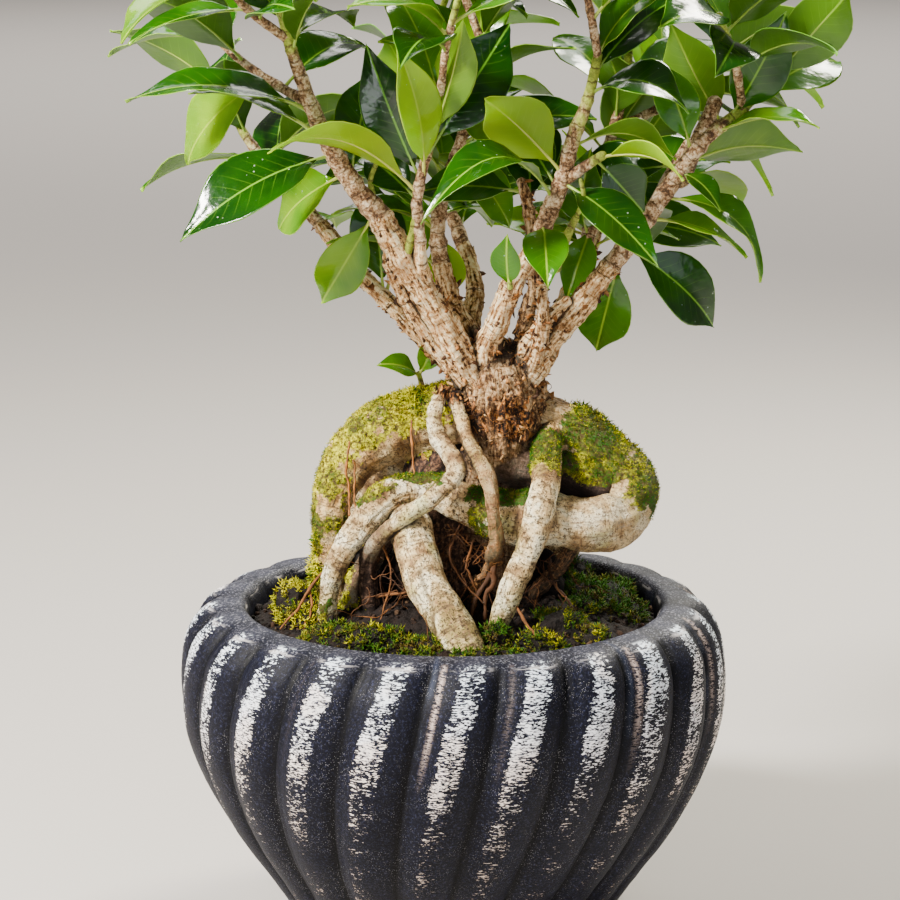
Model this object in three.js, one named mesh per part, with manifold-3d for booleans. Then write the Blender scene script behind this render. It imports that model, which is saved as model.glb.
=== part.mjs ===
// A ginseng ficus bonsai in its ribbed pot, in millimetres, with Z up.
// The origin is the centre of the pot's underside. The photographed front looks toward -Y.
import * as THREE from 'three';
import { mergeVertices } from 'three/addons/utils/BufferGeometryUtils.js';
import Module from 'manifold-3d';

const wasm = await Module();
wasm.setup();

// Driving dimensions
const gap = 0.3; // clearance between pieces that rest on each other
const ribCount = 24;
const ribDepth = 3.4;
const ribStart = 5.4; // degrees round from the front, toward +X, of one valley between ribs
const ribLevel = 70; // height at which that valley is measured
const ribLean = 0.14; // degrees that the ribs turn for each millimetre of height
const columnsPerRib = 4;
const soilColumns = 28;
const soilBump = 0.8; // height of the soil's clods
const bladeThickness = 0.7;
const petioleThickness = 1.4;
const petioleShare = 0.14; // part of a leaf's length that is its stalk
const leafFold = 0.2; // rise of a blade's edges for each millimetre of half width
const leafStations = [0, petioleShare, 0.4, 0.7, 1]; // shares of a leaf's length
const leafLength = [36, 54]; // shortest and longest of the general foliage
const leafSlimness = 0.43; // width of a leaf over its length
const leafClear = 4.3; // least distance between leaves of different sprays
const kinClear = 2.58; // and between leaves of one spray
const woodClear = 2.4; // least distance from a leaf to bark
const leafTries = 14;
const leafReach = 40; // no part of a leaf is further than this from its middle
const footShare = 0.35; // part of a leaf's length that may come near its own spray
const sampleRows = 10;
const sampleColumns = [-0.9, -0.45, 0, 0.45, 0.9];
const sampleSpacing = 4;
const widestShare = 0.6; // where along a leaf its middle is taken to be
const goldenTurn = 2.4; // turn from each leaf of a stem to the next, in radians
const turnVaries = 0.5; // radians either way
const turnAgain = 0.7; // radians further at each new try, and the leaf is this much shorter:
const shorterAgain = 0.025;
const spreadRange = [1.35, 0.55]; // angle between leaf and stem, low on the stem and at its end
const spreadVaries = 0.15;
const droopRange = [0.05, 0.3]; // shares of its length that a leaf's tip hangs down
const archRange = [0.08, 0.18];
const crownRadius = 110; // leaves further out on the crown face further outward
const faceForward = 0.2; // share by which a leaf's upper side also looks along the stem
const ringSpacing = 1.8; // distance between a limb's rings for each millimetre of its widest radius
const ringLeast = 9; // and the least distance between them

// Pot wall from the foot up over the lip, each row with its radius and height
// and the shares of the rib depth by which a valley is set inward and lowered
const potOutside = [
  [48, 0, 0, 0],
  [52, 5, 0.3, 0],
  [63, 21, 1, 0],
  [72.5, 35, 1, 0],
  [80.5, 51, 1, 0],
  [85.5, 66, 1, 0],
  [86.5, 80, 1, 0],
  [84.2, 94, 1, 0],
  [79, 101.3, 0.8, 0.4],
  [72, 104, 0, 0.8],
  [66.5, 102, -0.4, 0.4],
  [64.2, 96, 0, 0],
];
const potInside = [[72.5, 76], [60, 28]];
const potFloor = 13; // height of the inside at its middle
const soilSurface = [[63.5, 97.5], [54, 99.5], [38, 102.5], [19, 105.5]];
const soilCrown = 107;

// Trunk, roots and branches, each as points of x, y, z and radius
const limbs = {
  core: [[13, 0, 178, 13], [14, -1, 168, 15], [14, -2, 158, 13], [14, 0, 147, 10.5],
    [13, 3, 130, 9.5], [11, 4, 108, 10], [11, 4, 90, 9]],
  leftShoulder: [[8, 2, 163, 9.5], [-4, 3, 161, 10.5], [-19, 4, 157, 10.5], [-31, 3, 149, 8.5],
    [-37, 0, 139, 7], [-39, -2, 126, 5.5], [-38, -3, 110, 5], [-36, -4, 90, 4]],
  rightLobe: [[19, 2, 162, 9.5], [30, 2, 159, 9.5], [41, -1, 155, 10], [51, -4, 148, 9.6],
    [55, -9, 140, 9.2], [52, -15, 134, 8.6], [43, -20, 133, 8.5], [31, -21, 134, 8.5],
    [20, -20, 134, 8.5], [8, -18, 137, 7], [-3, -17, 141, 5.5], [-13, -17, 143, 4.5],
    [-21, -18, 140, 5], [-29, -19, 131, 4.5], [-34, -19, 124, 3.5], [-38, -18, 113, 3],
    [-39, -17, 101, 3], [-38, -16, 91, 2]],
  lobeHeart: [[16, -4, 150, 9], [30, -5, 147, 8.5], [42, -8, 144, 8.5], [48, -9, 141, 8]],
  frontLeg: [[-16, -14, 137, 5.5], [-13, -22, 130, 7], [-8, -34, 118, 6.5], [-2, -43, 109, 6.2],
    [3, -49, 101, 6.5], [6, -53, 91, 5]],
  rightLeg: [[31, -6, 159, 3.5], [29, -16, 152, 4.5], [28, -26, 146, 4.5], [26, -31, 139, 4.5],
    [22, -33, 126, 4], [16, -33, 111, 4], [11, -32, 94, 2.5]],
  elbowRoot: [[-3, -10, 173, 1.8], [-6, -15, 165, 2.5], [-5, -18, 160, 2.8], [1, -26, 151, 3.3],
    [-5, -29, 144, 2.8], [-13, -28, 138, 2.7], [-21, -25, 131, 2.5], [-25, -21, 125, 2.5],
    [-27, -15, 116, 3], [-24, -11, 95, 3]],
  hangingRoot: [[0, -11, 171, 1.8], [4, -18, 160, 2.3], [10, -27, 149, 2.4], [12, -31, 140, 2.3],
    [13, -30, 130, 2.5], [11, -25, 121, 2.3], [6, -19, 111, 1.7], [4, -17, 97, 1.4]],
  rightBackRoot: [[40, -8, 128, 2.6], [33, -5, 115, 2.6], [26, -4, 107, 2.5], [24, -4, 94, 2]],
  leftInnerRoot: [[-11, 0, 138, 4.5], [-24, -4, 121, 4], [-31, -8, 106, 4], [-32, -9, 91, 3]],
  innerMass: [[2, 2, 150, 8], [-8, 2, 144, 7], [-5, 1, 133, 8], [-4, 0, 116, 9], [-2, 0, 91, 8]],
  backTuber: [[12, 8, 160, 9], [14, 24, 152, 10], [12, 36, 138, 10], [6, 38, 122, 9],
    [2, 34, 108, 8], [2, 32, 91, 6]],
  backLeftTuber: [[0, 8, 158, 8], [-14, 20, 150, 9], [-26, 28, 136, 8], [-30, 30, 120, 6.5],
    [-30, 27, 105, 5.5], [-28, 25, 91, 4]],
  backRightTuber: [[24, 6, 158, 8], [36, 16, 148, 9], [42, 23, 134, 8], [37, 27, 118, 6.5],
    [30, 27, 104, 5.5], [28, 26, 91, 4]],
  leftBranch: [[10, -4, 171, 5.5], [4, -7, 179, 5.2], [-1, -10, 189, 4.8], [-9, -13, 203, 4.5],
    [-18, -16, 219, 4.1], [-22, -17, 227, 3.9]],
  leftBranchRidge: [[3, -8, 175, 3], [-6, -11, 187, 2.3], [-14, -14, 200, 2], [-20, -16, 213, 1.6]],
  leftShoot: [[-7, -13, 203, 2], [-10, -18, 214, 1.9], [-10, -19, 219, 1.8]],
  centreLeftBranch: [[10, 3, 175, 4], [5, 5, 186, 3.5], [-1, 7, 198, 3.1], [-4, 8, 209, 2.9]],
  middleBranch: [[11, -4, 173, 4.5], [10, -8, 185, 3.7], [14, -10, 195, 3.4], [18, -12, 206, 3.2],
    [24, -13, 216, 3]],
  deadBranch: [[19, 2, 180, 2.6], [25, 2, 205, 2], [24, 1, 222, 1.7], [21, 0, 236, 1.3]],
  frontStub: [[23, -6, 176, 2.6], [27, -11, 190, 2.1], [27, -15, 205, 1.7]],
  rightBranch: [[14, -2, 168, 5.5], [23, -4, 177, 4.6], [30, -5, 187, 4], [38, -5, 197, 3.6],
    [48, -5, 210, 3.2]],
  lowRightTwig: [[20, -4, 177, 2.6], [22, -8, 186, 2], [28, -9, 194, 1.9], [35, -7, 200, 1.6]],
  backMiddleBranch: [[21, 4, 174, 3.8], [30, 9, 187, 3.2], [36, 12, 199, 2.8], [41, 14, 212, 2.4]],
  backBranch: [[8, 8, 172, 3.8], [5, 20, 185, 3.2], [7, 30, 198, 2.8], [3, 38, 211, 2.5]],
  backRightBranch: [[18, 8, 170, 3.8], [30, 24, 184, 3.2], [40, 36, 200, 2.8], [46, 44, 216, 2.4]],
  backLeftBranch: [[4, 6, 172, 3.6], [-12, 14, 188, 3], [-30, 20, 205, 2.6], [-42, 25, 219, 2.3]],
};

// Leafy stems. Each starts on the wood or on another stem, has its own course, the leaves that
// show in the photograph, and a number of leaves placed by rule. A leaf is given by the foot of
// its stalk, its tip, its width, the way its upper side faces, and its arch over its length.
const sprays = {
  leftTip: {
    stem: [[-22, -17, 227, 3.6], [-30, -19, 237, 3.2], [-40, -22, 255, 2.6], [-45, -24, 269, 2],
      [-50, -25, 286, 1.5], [-50, -24, 304, 1.1]],
    leaves: [
      [[-36, -20, 246], [-81, -36, 222], 22, [-0.2, -0.75, 0.65], 0.13],
      [[-44, -23, 260], [-98, -20, 262], 20, [0, -0.3, 0.95], 0.12],
      [[-43, -22, 254], [-80, -12, 264], 16, [0, -0.15, 1], 0.1],
      [[-33, -18, 240], [-54, 6, 220], 20, [-0.3, -0.8, 0.5], 0.1],
      [[-24, -17, 228], [-41, 0, 198], 15, [0.2, -0.9, 0.4], 0.12],
      [[-31, -19, 239], [-24, -5, 271], 16, [-0.1, -0.95, 0.25], 0.1],
    ],
    count: 4,
    first: 0.62,
  },
  leftShoot: {
    stem: [[-10, -19, 219, 1.8], [-11, -21, 232, 1.7], [-9, -24, 243, 1.5], [-6, -26, 253, 1.3],
      [-4, -28, 266, 1.1]],
    leaves: [
      [[-11, -22, 235], [-54, -51, 250], 17, [0.1, 0.6, 0.8], 0.2],
      [[-10, -22, 239], [-26, -30, 280], 17, [-0.2, -0.95, 0.1], 0.08],
      [[-9, -24, 241], [-17, -40, 281], 15, [0.5, -0.8, 0.1], 0.1],
      [[-7, -25, 248], [-11, -14, 286], 13, [-0.5, -0.7, 0.4], 0.08],
      [[-7, -26, 248], [17, -12, 285], 21, [0.2, -0.95, 0.35], 0.08],
      [[-6, -27, 252], [3, -38, 288], 14, [0.5, 0.6, 0.5], 0.06],
      [[-11, -22, 233], [-27, -5, 244], 13, [0, -0.9, 0.45], 0.12],
    ],
    count: 1,
    first: 0.85,
  },
  centreLeft: {
    stem: [[-4, 8, 209, 2.8], [-5, 9, 220, 2.5], [-3, 11, 232, 2.2], [2, 13, 246, 1.9],
      [6, 13, 262, 1.6], [8, 11, 280, 1.3]],
    leaves: [
      [[-5, 9, 220], [0, 20, 197], 12, [-0.1, -0.9, 0.4], 0.1],
      [[1, 13, 242], [18, 23, 218], 15, [0.2, -0.8, 0.6], 0.1],
      [[5, 13, 258], [14, -8, 244], 11, [0, -0.9, 0.4], 0.1],
    ],
    count: 5,
    first: 0.4,
  },
  middle: {
    stem: [[24, -13, 216, 2.9], [29, -14, 228, 2.8], [33, -15, 239, 2.5], [36, -16, 251, 2.2],
      [40, -17, 262, 1.8], [43, -18, 276, 1.4]],
    shoots: [[[34, -15, 238, 1.8], [39, -17, 242, 1.6], [45, -18, 246, 1.3]]],
    leaves: [
      [[30, -14, 232], [-10, -43, 228], 17, [-0.2, -0.5, 0.85], 0.36],
      [[32, -16, 241], [9, -35, 264], 20, [-0.2, 0.75, 0.5], 0.1],
      [[31, -14, 236], [17, 1, 256], 14, [0, -0.95, 0.3], 0.08],
      [[36, -16, 248], [68, -5, 243], 15, [0, 0.45, 0.9], 0.2],
      [[41, -17, 264], [70, -26, 259], 19, [0.2, -0.5, 0.85], 0.26],
      [[33, -15, 237], [61, -33, 214], 16, [0.1, -0.7, 0.7], 0.1],
      [[44, -18, 245], [68, -34, 240], 15, [0, 0.55, 0.83], 0.16],
      [[43, -17, 244], [58, -7, 227], 16, [0.1, -0.95, 0.2], 0.06],
      [[27, -14, 224], [28, -36, 208], 14, [0, -0.85, 0.5], 0.14],
    ],
    count: 2,
    first: 0.86,
  },
  right: {
    stem: [[48, -5, 210, 3.1], [58, -4, 223, 2.9], [67, -3, 236, 2.6], [77, -2, 249, 2.2],
      [88, -1, 258, 1.7], [98, 0, 268, 1.2]],
    leaves: [
      [[53, -4, 216], [82, 14, 188], 20, [0, -0.85, 0.55], 0.12],
      [[51, -4, 213], [45, 16, 180], 17, [0, -0.9, 0.4], 0.1],
      [[63, -3, 231], [95, 2, 204], 17, [0.3, -0.4, 0.85], 0.26],
      [[69, -3, 239], [81, -12, 228], 9, [0.2, -0.5, 0.85], 0.15],
      [[72, -3, 242], [108, 8, 244], 22, [0.1, 0.7, 0.7], 0.12],
      [[82, -1, 253], [66, 8, 284], 18, [-0.3, 0.8, 0.4], 0.08],
      [[84, -1, 255], [100, -8, 288], 18, [0.3, -0.9, 0.3], 0.08],
      [[80, -2, 251], [110, -16, 254], 15, [0, -0.2, 1], 0.12],
    ],
    count: 2,
    first: 0.82,
  },
  backMiddle: {
    stem: [[41, 14, 212, 2.3], [45, 16, 228, 2.1], [49, 20, 246, 1.8], [54, 24, 264, 1.5],
      [55, 28, 284, 1.2]],
    leaves: [
      [[43, 15, 220], [35, 8, 197], 11, [0, -0.9, 0.3], 0.1],
      [[48, 19, 242], [66, 26, 268], 22, [0.1, 0.6, 0.6], 0.1],
    ],
    count: 5,
    first: 0.35,
  },
  back: {
    stem: [[3, 38, 211, 2.4], [-3, 46, 226, 2], [-9, 55, 242, 1.6], [-12, 62, 260, 1.2]],
    count: 6,
    first: 0.15,
  },
  backRight: {
    stem: [[46, 44, 216, 2.3], [54, 52, 230, 1.9], [62, 60, 246, 1.5], [66, 66, 262, 1.1]],
    count: 6,
    first: 0.15,
  },
  backLeft: {
    stem: [[-42, 25, 219, 2.2], [-54, 31, 232, 1.8], [-66, 36, 246, 1.5], [-74, 40, 262, 1.1]],
    count: 6,
    first: 0.15,
  },
  leftOuter: {
    on: 'leftTip',
    stem: [[-43, -23, 262, 1.6], [-56, -12, 268, 1.4], [-70, -4, 278, 1.2], [-80, 2, 290, 1]],
    leaves: [[[-57, -11, 268], [-82, 8, 240], 18, [-0.3, -0.8, 0.4], 0.15]],
    count: 5,
    first: 0.45,
  },
  leftFront: {
    on: 'leftTip',
    stem: [[-48, -24, 280, 1.4], [-60, -34, 290, 1.2], [-70, -42, 302, 1]],
    count: 5,
    first: 0.3,
  },
  topLeft: {
    on: 'leftTip',
    stem: [[-50, -24, 297, 1.3], [-44, -10, 306, 1.2], [-38, 4, 318, 1]],
    count: 5,
    first: 0.3,
  },
  topFront: {
    on: 'leftShoot',
    stem: [[-4, -28, 265, 1.2], [-2, -36, 280, 1.1], [2, -44, 296, 1]],
    count: 5,
    first: 0.35,
  },
  topCentre: {
    on: 'centreLeft',
    stem: [[8, 11, 279, 1.3], [2, 12, 296, 1.2], [-2, 14, 314, 1]],
    count: 5,
    first: 0.3,
  },
  topMiddle: {
    on: 'middle',
    stem: [[43, -18, 275, 1.3], [40, -24, 290, 1.2], [36, -26, 306, 1]],
    count: 5,
    first: 0.3,
  },
  topRight: {
    on: 'right',
    stem: [[88, -1, 258, 1.5], [84, -14, 274, 1.2], [78, -26, 288, 1]],
    count: 5,
    first: 0.35,
  },
  topBackMiddle: {
    on: 'backMiddle',
    stem: [[55, 27, 281, 1.2], [46, 24, 298, 1.1], [40, 22, 314, 1]],
    count: 5,
    first: 0.3,
  },
  rightBackOuter: {
    on: 'backMiddle',
    stem: [[50, 21, 249, 1.6], [68, 26, 258, 1.4], [84, 32, 270, 1.1]],
    count: 5,
    first: 0.35,
  },
  topBack: {
    on: 'back',
    stem: [[-12, 61, 258, 1.3], [-6, 50, 278, 1.2], [0, 42, 296, 1]],
    count: 5,
    first: 0.3,
  },
  lowLeafMiddle: {
    stem: [[16, -11, 201, 1], [17, -17, 204, 0.9], [17, -21, 208, 0.8]],
    leaves: [[[17, -20, 206], [16, -25, 223], 10, [-0.4, -0.9, 0.1], 0.08]],
  },
  shoulderSprout: {
    stem: [[-10, 6, 164, 1], [-10, 10, 170, 0.9], [-11, 12, 174, 0.8]],
    leaves: [
      [[-11, 12, 173], [-24, 4, 178], 9, [-0.2, -0.7, 0.7], 0.15],
      [[-11, 12, 173], [-4, 13, 187], 8, [0.2, -0.9, 0.3], 0.1],
    ],
  },
};

// Colours
const paint = {
  pot: { color: 0x2b303a, roughness: 0.5, metalness: 0.05 },
  soil: { color: 0x2e1f16, roughness: 0.98, metalness: 0 },
  wood: { color: 0xa98d6d, roughness: 0.85, metalness: 0 },
  leaf: { color: 0x3f8f1f, roughness: 0.35, metalness: 0 },
};

const group = new THREE.Group();

function addMesh(name, geometry, finish) {
  const mesh = new THREE.Mesh(geometry, new THREE.MeshStandardMaterial(finish));
  mesh.name = name;
  group.add(mesh);
}

// A closed geometry becomes a solid once its shared vertices are merged.
function toSolid(geometry) {
  geometry.deleteAttribute('normal');
  geometry.deleteAttribute('uv');
  const merged = mergeVertices(geometry, 1e-3);
  const index = merged.index.array;
  const triangles = [];
  for (let i = 0; i < index.length; i += 3) {
    const [a, b, c] = [index[i], index[i + 1], index[i + 2]];
    if (a !== b && b !== c && c !== a) triangles.push(a, b, c);
  }
  return new wasm.Manifold(new wasm.Mesh({
    numProp: 3,
    vertProperties: Float32Array.from(merged.attributes.position.array),
    triVerts: Uint32Array.from(triangles),
  }));
}

function toGeometry(solid) {
  const mesh = solid.getMesh();
  const geometry = new THREE.BufferGeometry();
  geometry.setAttribute('position', new THREE.BufferAttribute(mesh.vertProperties, 3));
  geometry.setIndex(new THREE.BufferAttribute(mesh.triVerts, 1));
  geometry.computeVertexNormals();
  return geometry;
}

// Cutting can leave scraps, so only the largest body is kept.
function largestBody(solid) {
  return solid.decompose().reduce((best, body) => (body.volume() > best.volume() ? body : best));
}

function joined(solids) {
  return solids.reduce((sum, solid) => sum.add(solid));
}

// Moves every vertex of a geometry by a rule, which also gets the vertex's number.
function reshape(geometry, move) {
  const position = geometry.attributes.position;
  const point = new THREE.Vector3();
  for (let i = 0; i < position.count; i++) {
    point.fromBufferAttribute(position, i);
    move(point, i);
    position.setXYZ(i, point.x, point.y, point.z);
  }
  return geometry;
}

// A profile of [radius, height] rows is turned about the Z axis.
function turned(profile, columns) {
  const points = profile.map(([radius, height]) => new THREE.Vector2(radius, height));
  return new THREE.LatheGeometry(points, columns).rotateX(Math.PI / 2);
}

// Pot: convex ribs with narrow valleys between them, leaning as they rise over the lip
function makePot() {
  const profile = [[0, 0], ...potOutside, ...potInside, [0, potFloor]];
  const geometry = reshape(turned(profile, ribCount * columnsPerRib), (point, i) => {
    const [radius, height, inward = 0, lowered = 0] = profile[i % profile.length];
    const column = Math.floor(i / profile.length);
    const across = (column % columnsPerRib) / columnsPerRib;
    const depth = ribDepth * (1 - Math.sin(Math.PI * across) ** 0.7);
    const turn = ribStart + (height - ribLevel) * ribLean + (column * 360) / (ribCount * columnsPerRib);
    const angle = THREE.MathUtils.degToRad(turn);
    const reach = radius - depth * inward;
    point.set(reach * Math.sin(angle), -reach * Math.cos(angle), height - depth * lowered);
  });
  return toSolid(geometry);
}

// Soil: it fills the pot inside its wall and rises in a lumpy mound round the roots.
function makeSoil() {
  const side = gap * 1.3;
  const inside = potInside.map(([radius, height]) => [radius - side, height]);
  const neck = potOutside.at(-1);
  const profile = [
    [0, potFloor + gap],
    ...inside.reverse(),
    [neck[0] - side, neck[1]],
    ...soilSurface,
    [0, soilCrown],
  ];
  const firstOpenRow = profile.length - soilSurface.length;
  return toSolid(reshape(turned(profile, soilColumns), (point, i) => {
    if (i % profile.length < firstOpenRow) return;
    point.z += soilBump * Math.sin(point.x * 0.31 + 1) * Math.cos(point.y * 0.27 - 0.6);
  }));
}

// The course of a limb through its points, with its radius at any share of its length
function makeCourse(points) {
  const centres = points.map(([x, y, z]) => new THREE.Vector3(x, y, z));
  const curve = new THREE.CatmullRomCurve3(centres, false, 'centripetal');
  const radiusAt = (share) => {
    const place = curve.getUtoTmapping(share) * (points.length - 1);
    const before = Math.min(Math.floor(place), points.length - 2);
    return THREE.MathUtils.lerp(points[before][3], points[before + 1][3], place - before);
  };
  return { curve, radiusAt };
}

// A tapered limb: a lathe turned straight and then bent along its course. With extra it is
// larger all round, which makes the room that a neighbour leaves for it.
function makeLimb(points, extra = 0) {
  const { curve, radiusAt } = makeCourse(points);
  const widest = Math.max(...points.map((point) => point[3]));
  const sides = Math.round(THREE.MathUtils.clamp(widest, 5, 9));
  const steps = Math.ceil(curve.getLength() / Math.max(ringLeast, ringSpacing * widest));
  const roundness = 2 / (1 + Math.cos(Math.PI / sides)); // puts flat sides on the true radius
  const frames = curve.computeFrenetFrames(steps, false);
  const rings = Array.from({ length: steps + 1 }, (_, step) => [1, step]);
  const profile = [[0, 0], ...rings, [0, steps]].map(([reach, step]) => new THREE.Vector2(reach, step));
  const geometry = reshape(new THREE.LatheGeometry(profile, sides), (point) => {
    const step = Math.round(point.y);
    const radius = radiusAt(step / steps) * roundness + extra;
    const beyond = extra * (step === steps ? 1 : step === 0 ? -1 : 0);
    const offset = frames.tangents[step].clone().multiplyScalar(beyond);
    offset.addScaledVector(frames.binormals[step], point.x * radius);
    offset.addScaledVector(frames.normals[step], point.z * radius);
    point.copy(curve.getPointAt(step / steps)).add(offset);
  });
  return toSolid(geometry);
}

// The middle line of a leaf, bowed toward its upper side, and the direction across the leaf
function leafCourse([foot, tip, , face, arch]) {
  const start = new THREE.Vector3(...foot);
  const end = new THREE.Vector3(...tip);
  const chord = end.clone().sub(start);
  const side = new THREE.Vector3(...face).cross(chord).normalize();
  const rise = chord.clone().cross(side).multiplyScalar(2 * arch);
  const middle = start.clone().add(end).multiplyScalar(0.5).add(rise);
  return { line: new THREE.QuadraticBezierCurve3(start, middle, end), side };
}

// Half the width of a leaf at a share of its length: a stalk, then a pointed oval blade
function leafHalfWidth(share, width) {
  const blade = Math.max(0, (share - petioleShare) / (1 - petioleShare));
  return Math.max((width / 2) * Math.sin(Math.PI * blade ** 0.82) ** 0.85, petioleThickness / 2);
}

// A point of a leaf: share along it, -1 to 1 across it, and height above its middle surface
function leafPoint(leaf, { line, side }, share, across, height, extra = 0) {
  const up = line.getTangent(share).cross(side);
  const half = share === 1 ? extra : leafHalfWidth(share, leaf[2]) + extra;
  const point = line.getPoint(share).addScaledVector(side, across * half);
  return point.addScaledVector(up, Math.abs(across) * half * leafFold + height);
}

// A leaf blade with its stalk, bent from a thin box whose two faces are split along the same
// diagonals, so that a bent blade never crosses itself
function makeLeaf(leaf, extra = 0) {
  const spans = leafStations.length - 1;
  const box = new THREE.BoxGeometry(1, 1, 1, spans, 2, 1);
  const under = box.groups[5];
  const index = box.index.array;
  for (let i = under.start; i < under.start + under.count; i += 6) {
    const [a, b, d, , c] = index.slice(i, i + 5);
    index.set([a, b, c, a, c, d], i);
  }
  const course = leafCourse(leaf);
  return toSolid(reshape(box, (point) => {
    const share = leafStations[Math.round((point.x + 0.5) * spans)];
    const across = share === 0 && extra === 0 ? 0 : point.y * 2;
    const thickness = (share <= petioleShare ? petioleThickness : bladeThickness) + 2 * extra;
    point.copy(leafPoint(leaf, course, share, across, point.z * thickness, extra));
  }));
}

// Seeded draws between 0 and 1
let seed = 20;
function draw() {
  seed = (seed * 1664525 + 1013904223) % 4294967296;
  return seed / 4294967296;
}

function drawBetween(low, high) {
  return low + (high - low) * draw();
}

// Points spread over a leaf, used to keep leaves clear of each other
function sampleLeaf(leaf) {
  const course = leafCourse(leaf);
  const samples = [];
  for (let row = 2; row <= sampleRows; row++) {
    const share = row / sampleRows;
    for (const across of sampleColumns) {
      samples.push({ share, point: leafPoint(leaf, course, share, across, 0) });
    }
  }
  return { samples, centre: course.line.getPoint(widestShare) };
}

function sampleLimb(points) {
  const { curve, radiusAt } = makeCourse(points);
  const steps = Math.ceil(curve.getLength() / sampleSpacing);
  return Array.from({ length: steps + 1 }, (_, step) => ({
    point: curve.getPointAt(step / steps),
    radius: radiusAt(step / steps),
  }));
}

// What a new leaf has to keep clear of: bark, and the leaves placed so far
const barkSamples = Object.values(limbs).flatMap((points) => sampleLimb(points));
const stemSamples = {};
const leavesPlaced = [];

function nearBark(samples, bark) {
  return bark.some(({ point, radius }) =>
    samples.some((sample) => sample.point.distanceTo(point) < radius + woodClear));
}

function nearLeaf(samples, other, least, from) {
  return samples.some((a) => a.share >= from && other.samples.some((b) =>
    b.share >= from && a.point.distanceTo(b.point) <= least));
}

// Leaves of one spray meet at their feet, so only their outer parts are compared.
function isClear(leaf, owner) {
  const { samples, centre } = sampleLeaf(leaf);
  const closeBark = barkSamples.filter((bark) => bark.point.distanceTo(centre) < leafReach);
  if (nearBark(samples, closeBark)) return false;
  for (const [name, stem] of Object.entries(stemSamples)) {
    const tested = name === owner ? samples.filter((sample) => sample.share > footShare) : samples;
    if (nearBark(tested, stem)) return false;
  }
  return leavesPlaced.every((other) => {
    if (other.centre.distanceTo(centre) > 2 * leafReach) return true;
    const kin = other.owner === owner;
    return !nearLeaf(samples, other, kin ? kinClear : leafClear, kin ? footShare : 0);
  });
}

function placeLeaf(leaf, owner) {
  leavesPlaced.push({ owner, leaf, ...sampleLeaf(leaf) });
}

// Leaves by rule: they turn round the stem by the golden angle, spread wide low on it and
// narrow near its end, hang a little, and are drawn again where they would meet others.
function growLeaves(name, { stem, count = 0, first = 0 }) {
  const { curve } = makeCourse(stem);
  for (let i = 0; i < count; i++) {
    const share = first + ((1 - first) * (i + 0.5)) / count;
    const foot = curve.getPointAt(share);
    const along = curve.getTangentAt(share);
    const east = new THREE.Vector3(0, 0, 1).cross(along).normalize();
    const north = along.clone().cross(east);
    for (let attempt = 0; attempt < leafTries; attempt++) {
      const turn = i * goldenTurn + drawBetween(-turnVaries, turnVaries) + attempt * turnAgain;
      const usualSpread = THREE.MathUtils.lerp(...spreadRange, share);
      const spread = usualSpread + drawBetween(-spreadVaries, spreadVaries);
      const length = drawBetween(...leafLength) * (1 - attempt * shorterAgain);
      const away = east.clone().multiplyScalar(Math.cos(turn)).addScaledVector(north, Math.sin(turn));
      const course = along.clone().multiplyScalar(Math.cos(spread)).addScaledVector(away, Math.sin(spread));
      const tip = foot.clone().addScaledVector(course, length);
      tip.z -= length * drawBetween(...droopRange);
      const face = new THREE.Vector3(foot.x, foot.y, crownRadius).divideScalar(crownRadius);
      face.addScaledVector(along, faceForward);
      const width = length * leafSlimness;
      const leaf = [foot.toArray(), tip.toArray(), width, face.toArray(), drawBetween(...archRange)];
      if (isClear(leaf, name)) {
        placeLeaf(leaf, name);
        break;
      }
    }
  }
}

// Placing: the stems first, then the leaves seen in the photograph, then the rest of the crown
const sprayNames = Object.keys(sprays);
for (const name of sprayNames) {
  const { stem, shoots = [] } = sprays[name];
  stemSamples[name] = [stem, ...shoots].flatMap(sampleLimb);
}
for (const name of sprayNames) {
  for (const leaf of sprays[name].leaves ?? []) placeLeaf(leaf, name);
}
for (const name of sprayNames) growLeaves(name, sprays[name]);

// Building
function makeSpray(name, extra = 0) {
  const { stem, shoots = [] } = sprays[name];
  const stems = [stem, ...shoots].map((points) => makeLimb(points, extra));
  const leaves = leavesPlaced.filter((placed) => placed.owner === name);
  return joined([...stems, ...leaves.map((placed) => makeLeaf(placed.leaf, extra))]);
}

const limbList = Object.values(limbs);
const wood = largestBody(joined(limbList.map((points) => makeLimb(points))));
const woodRoom = joined(limbList.map((points) => makeLimb(points, gap)));

addMesh('pot', toGeometry(makePot()), paint.pot);
addMesh('soil', toGeometry(largestBody(makeSoil().subtract(woodRoom))), paint.soil);
addMesh('tree_wood', toGeometry(wood), paint.wood);

for (const name of sprayNames) {
  const { on } = sprays[name];
  let spray = makeSpray(name).subtract(woodRoom);
  if (on) spray = spray.subtract(makeSpray(on, gap));
  const nodeName = name.replace(/[A-Z]/g, (letter) => `_${letter.toLowerCase()}`);
  addMesh(`spray_${nodeName}`, toGeometry(largestBody(spray)), paint.leaf);
}

export default group;
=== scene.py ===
# The looks of a ginseng ficus bonsai in its ribbed pot, built round its solids.
# Lengths are millimetres until a mesh is made. The photographed front looks toward -Y.
import itertools
import math

import bmesh
import bpy
import numpy as np
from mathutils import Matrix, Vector, kdtree


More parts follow.
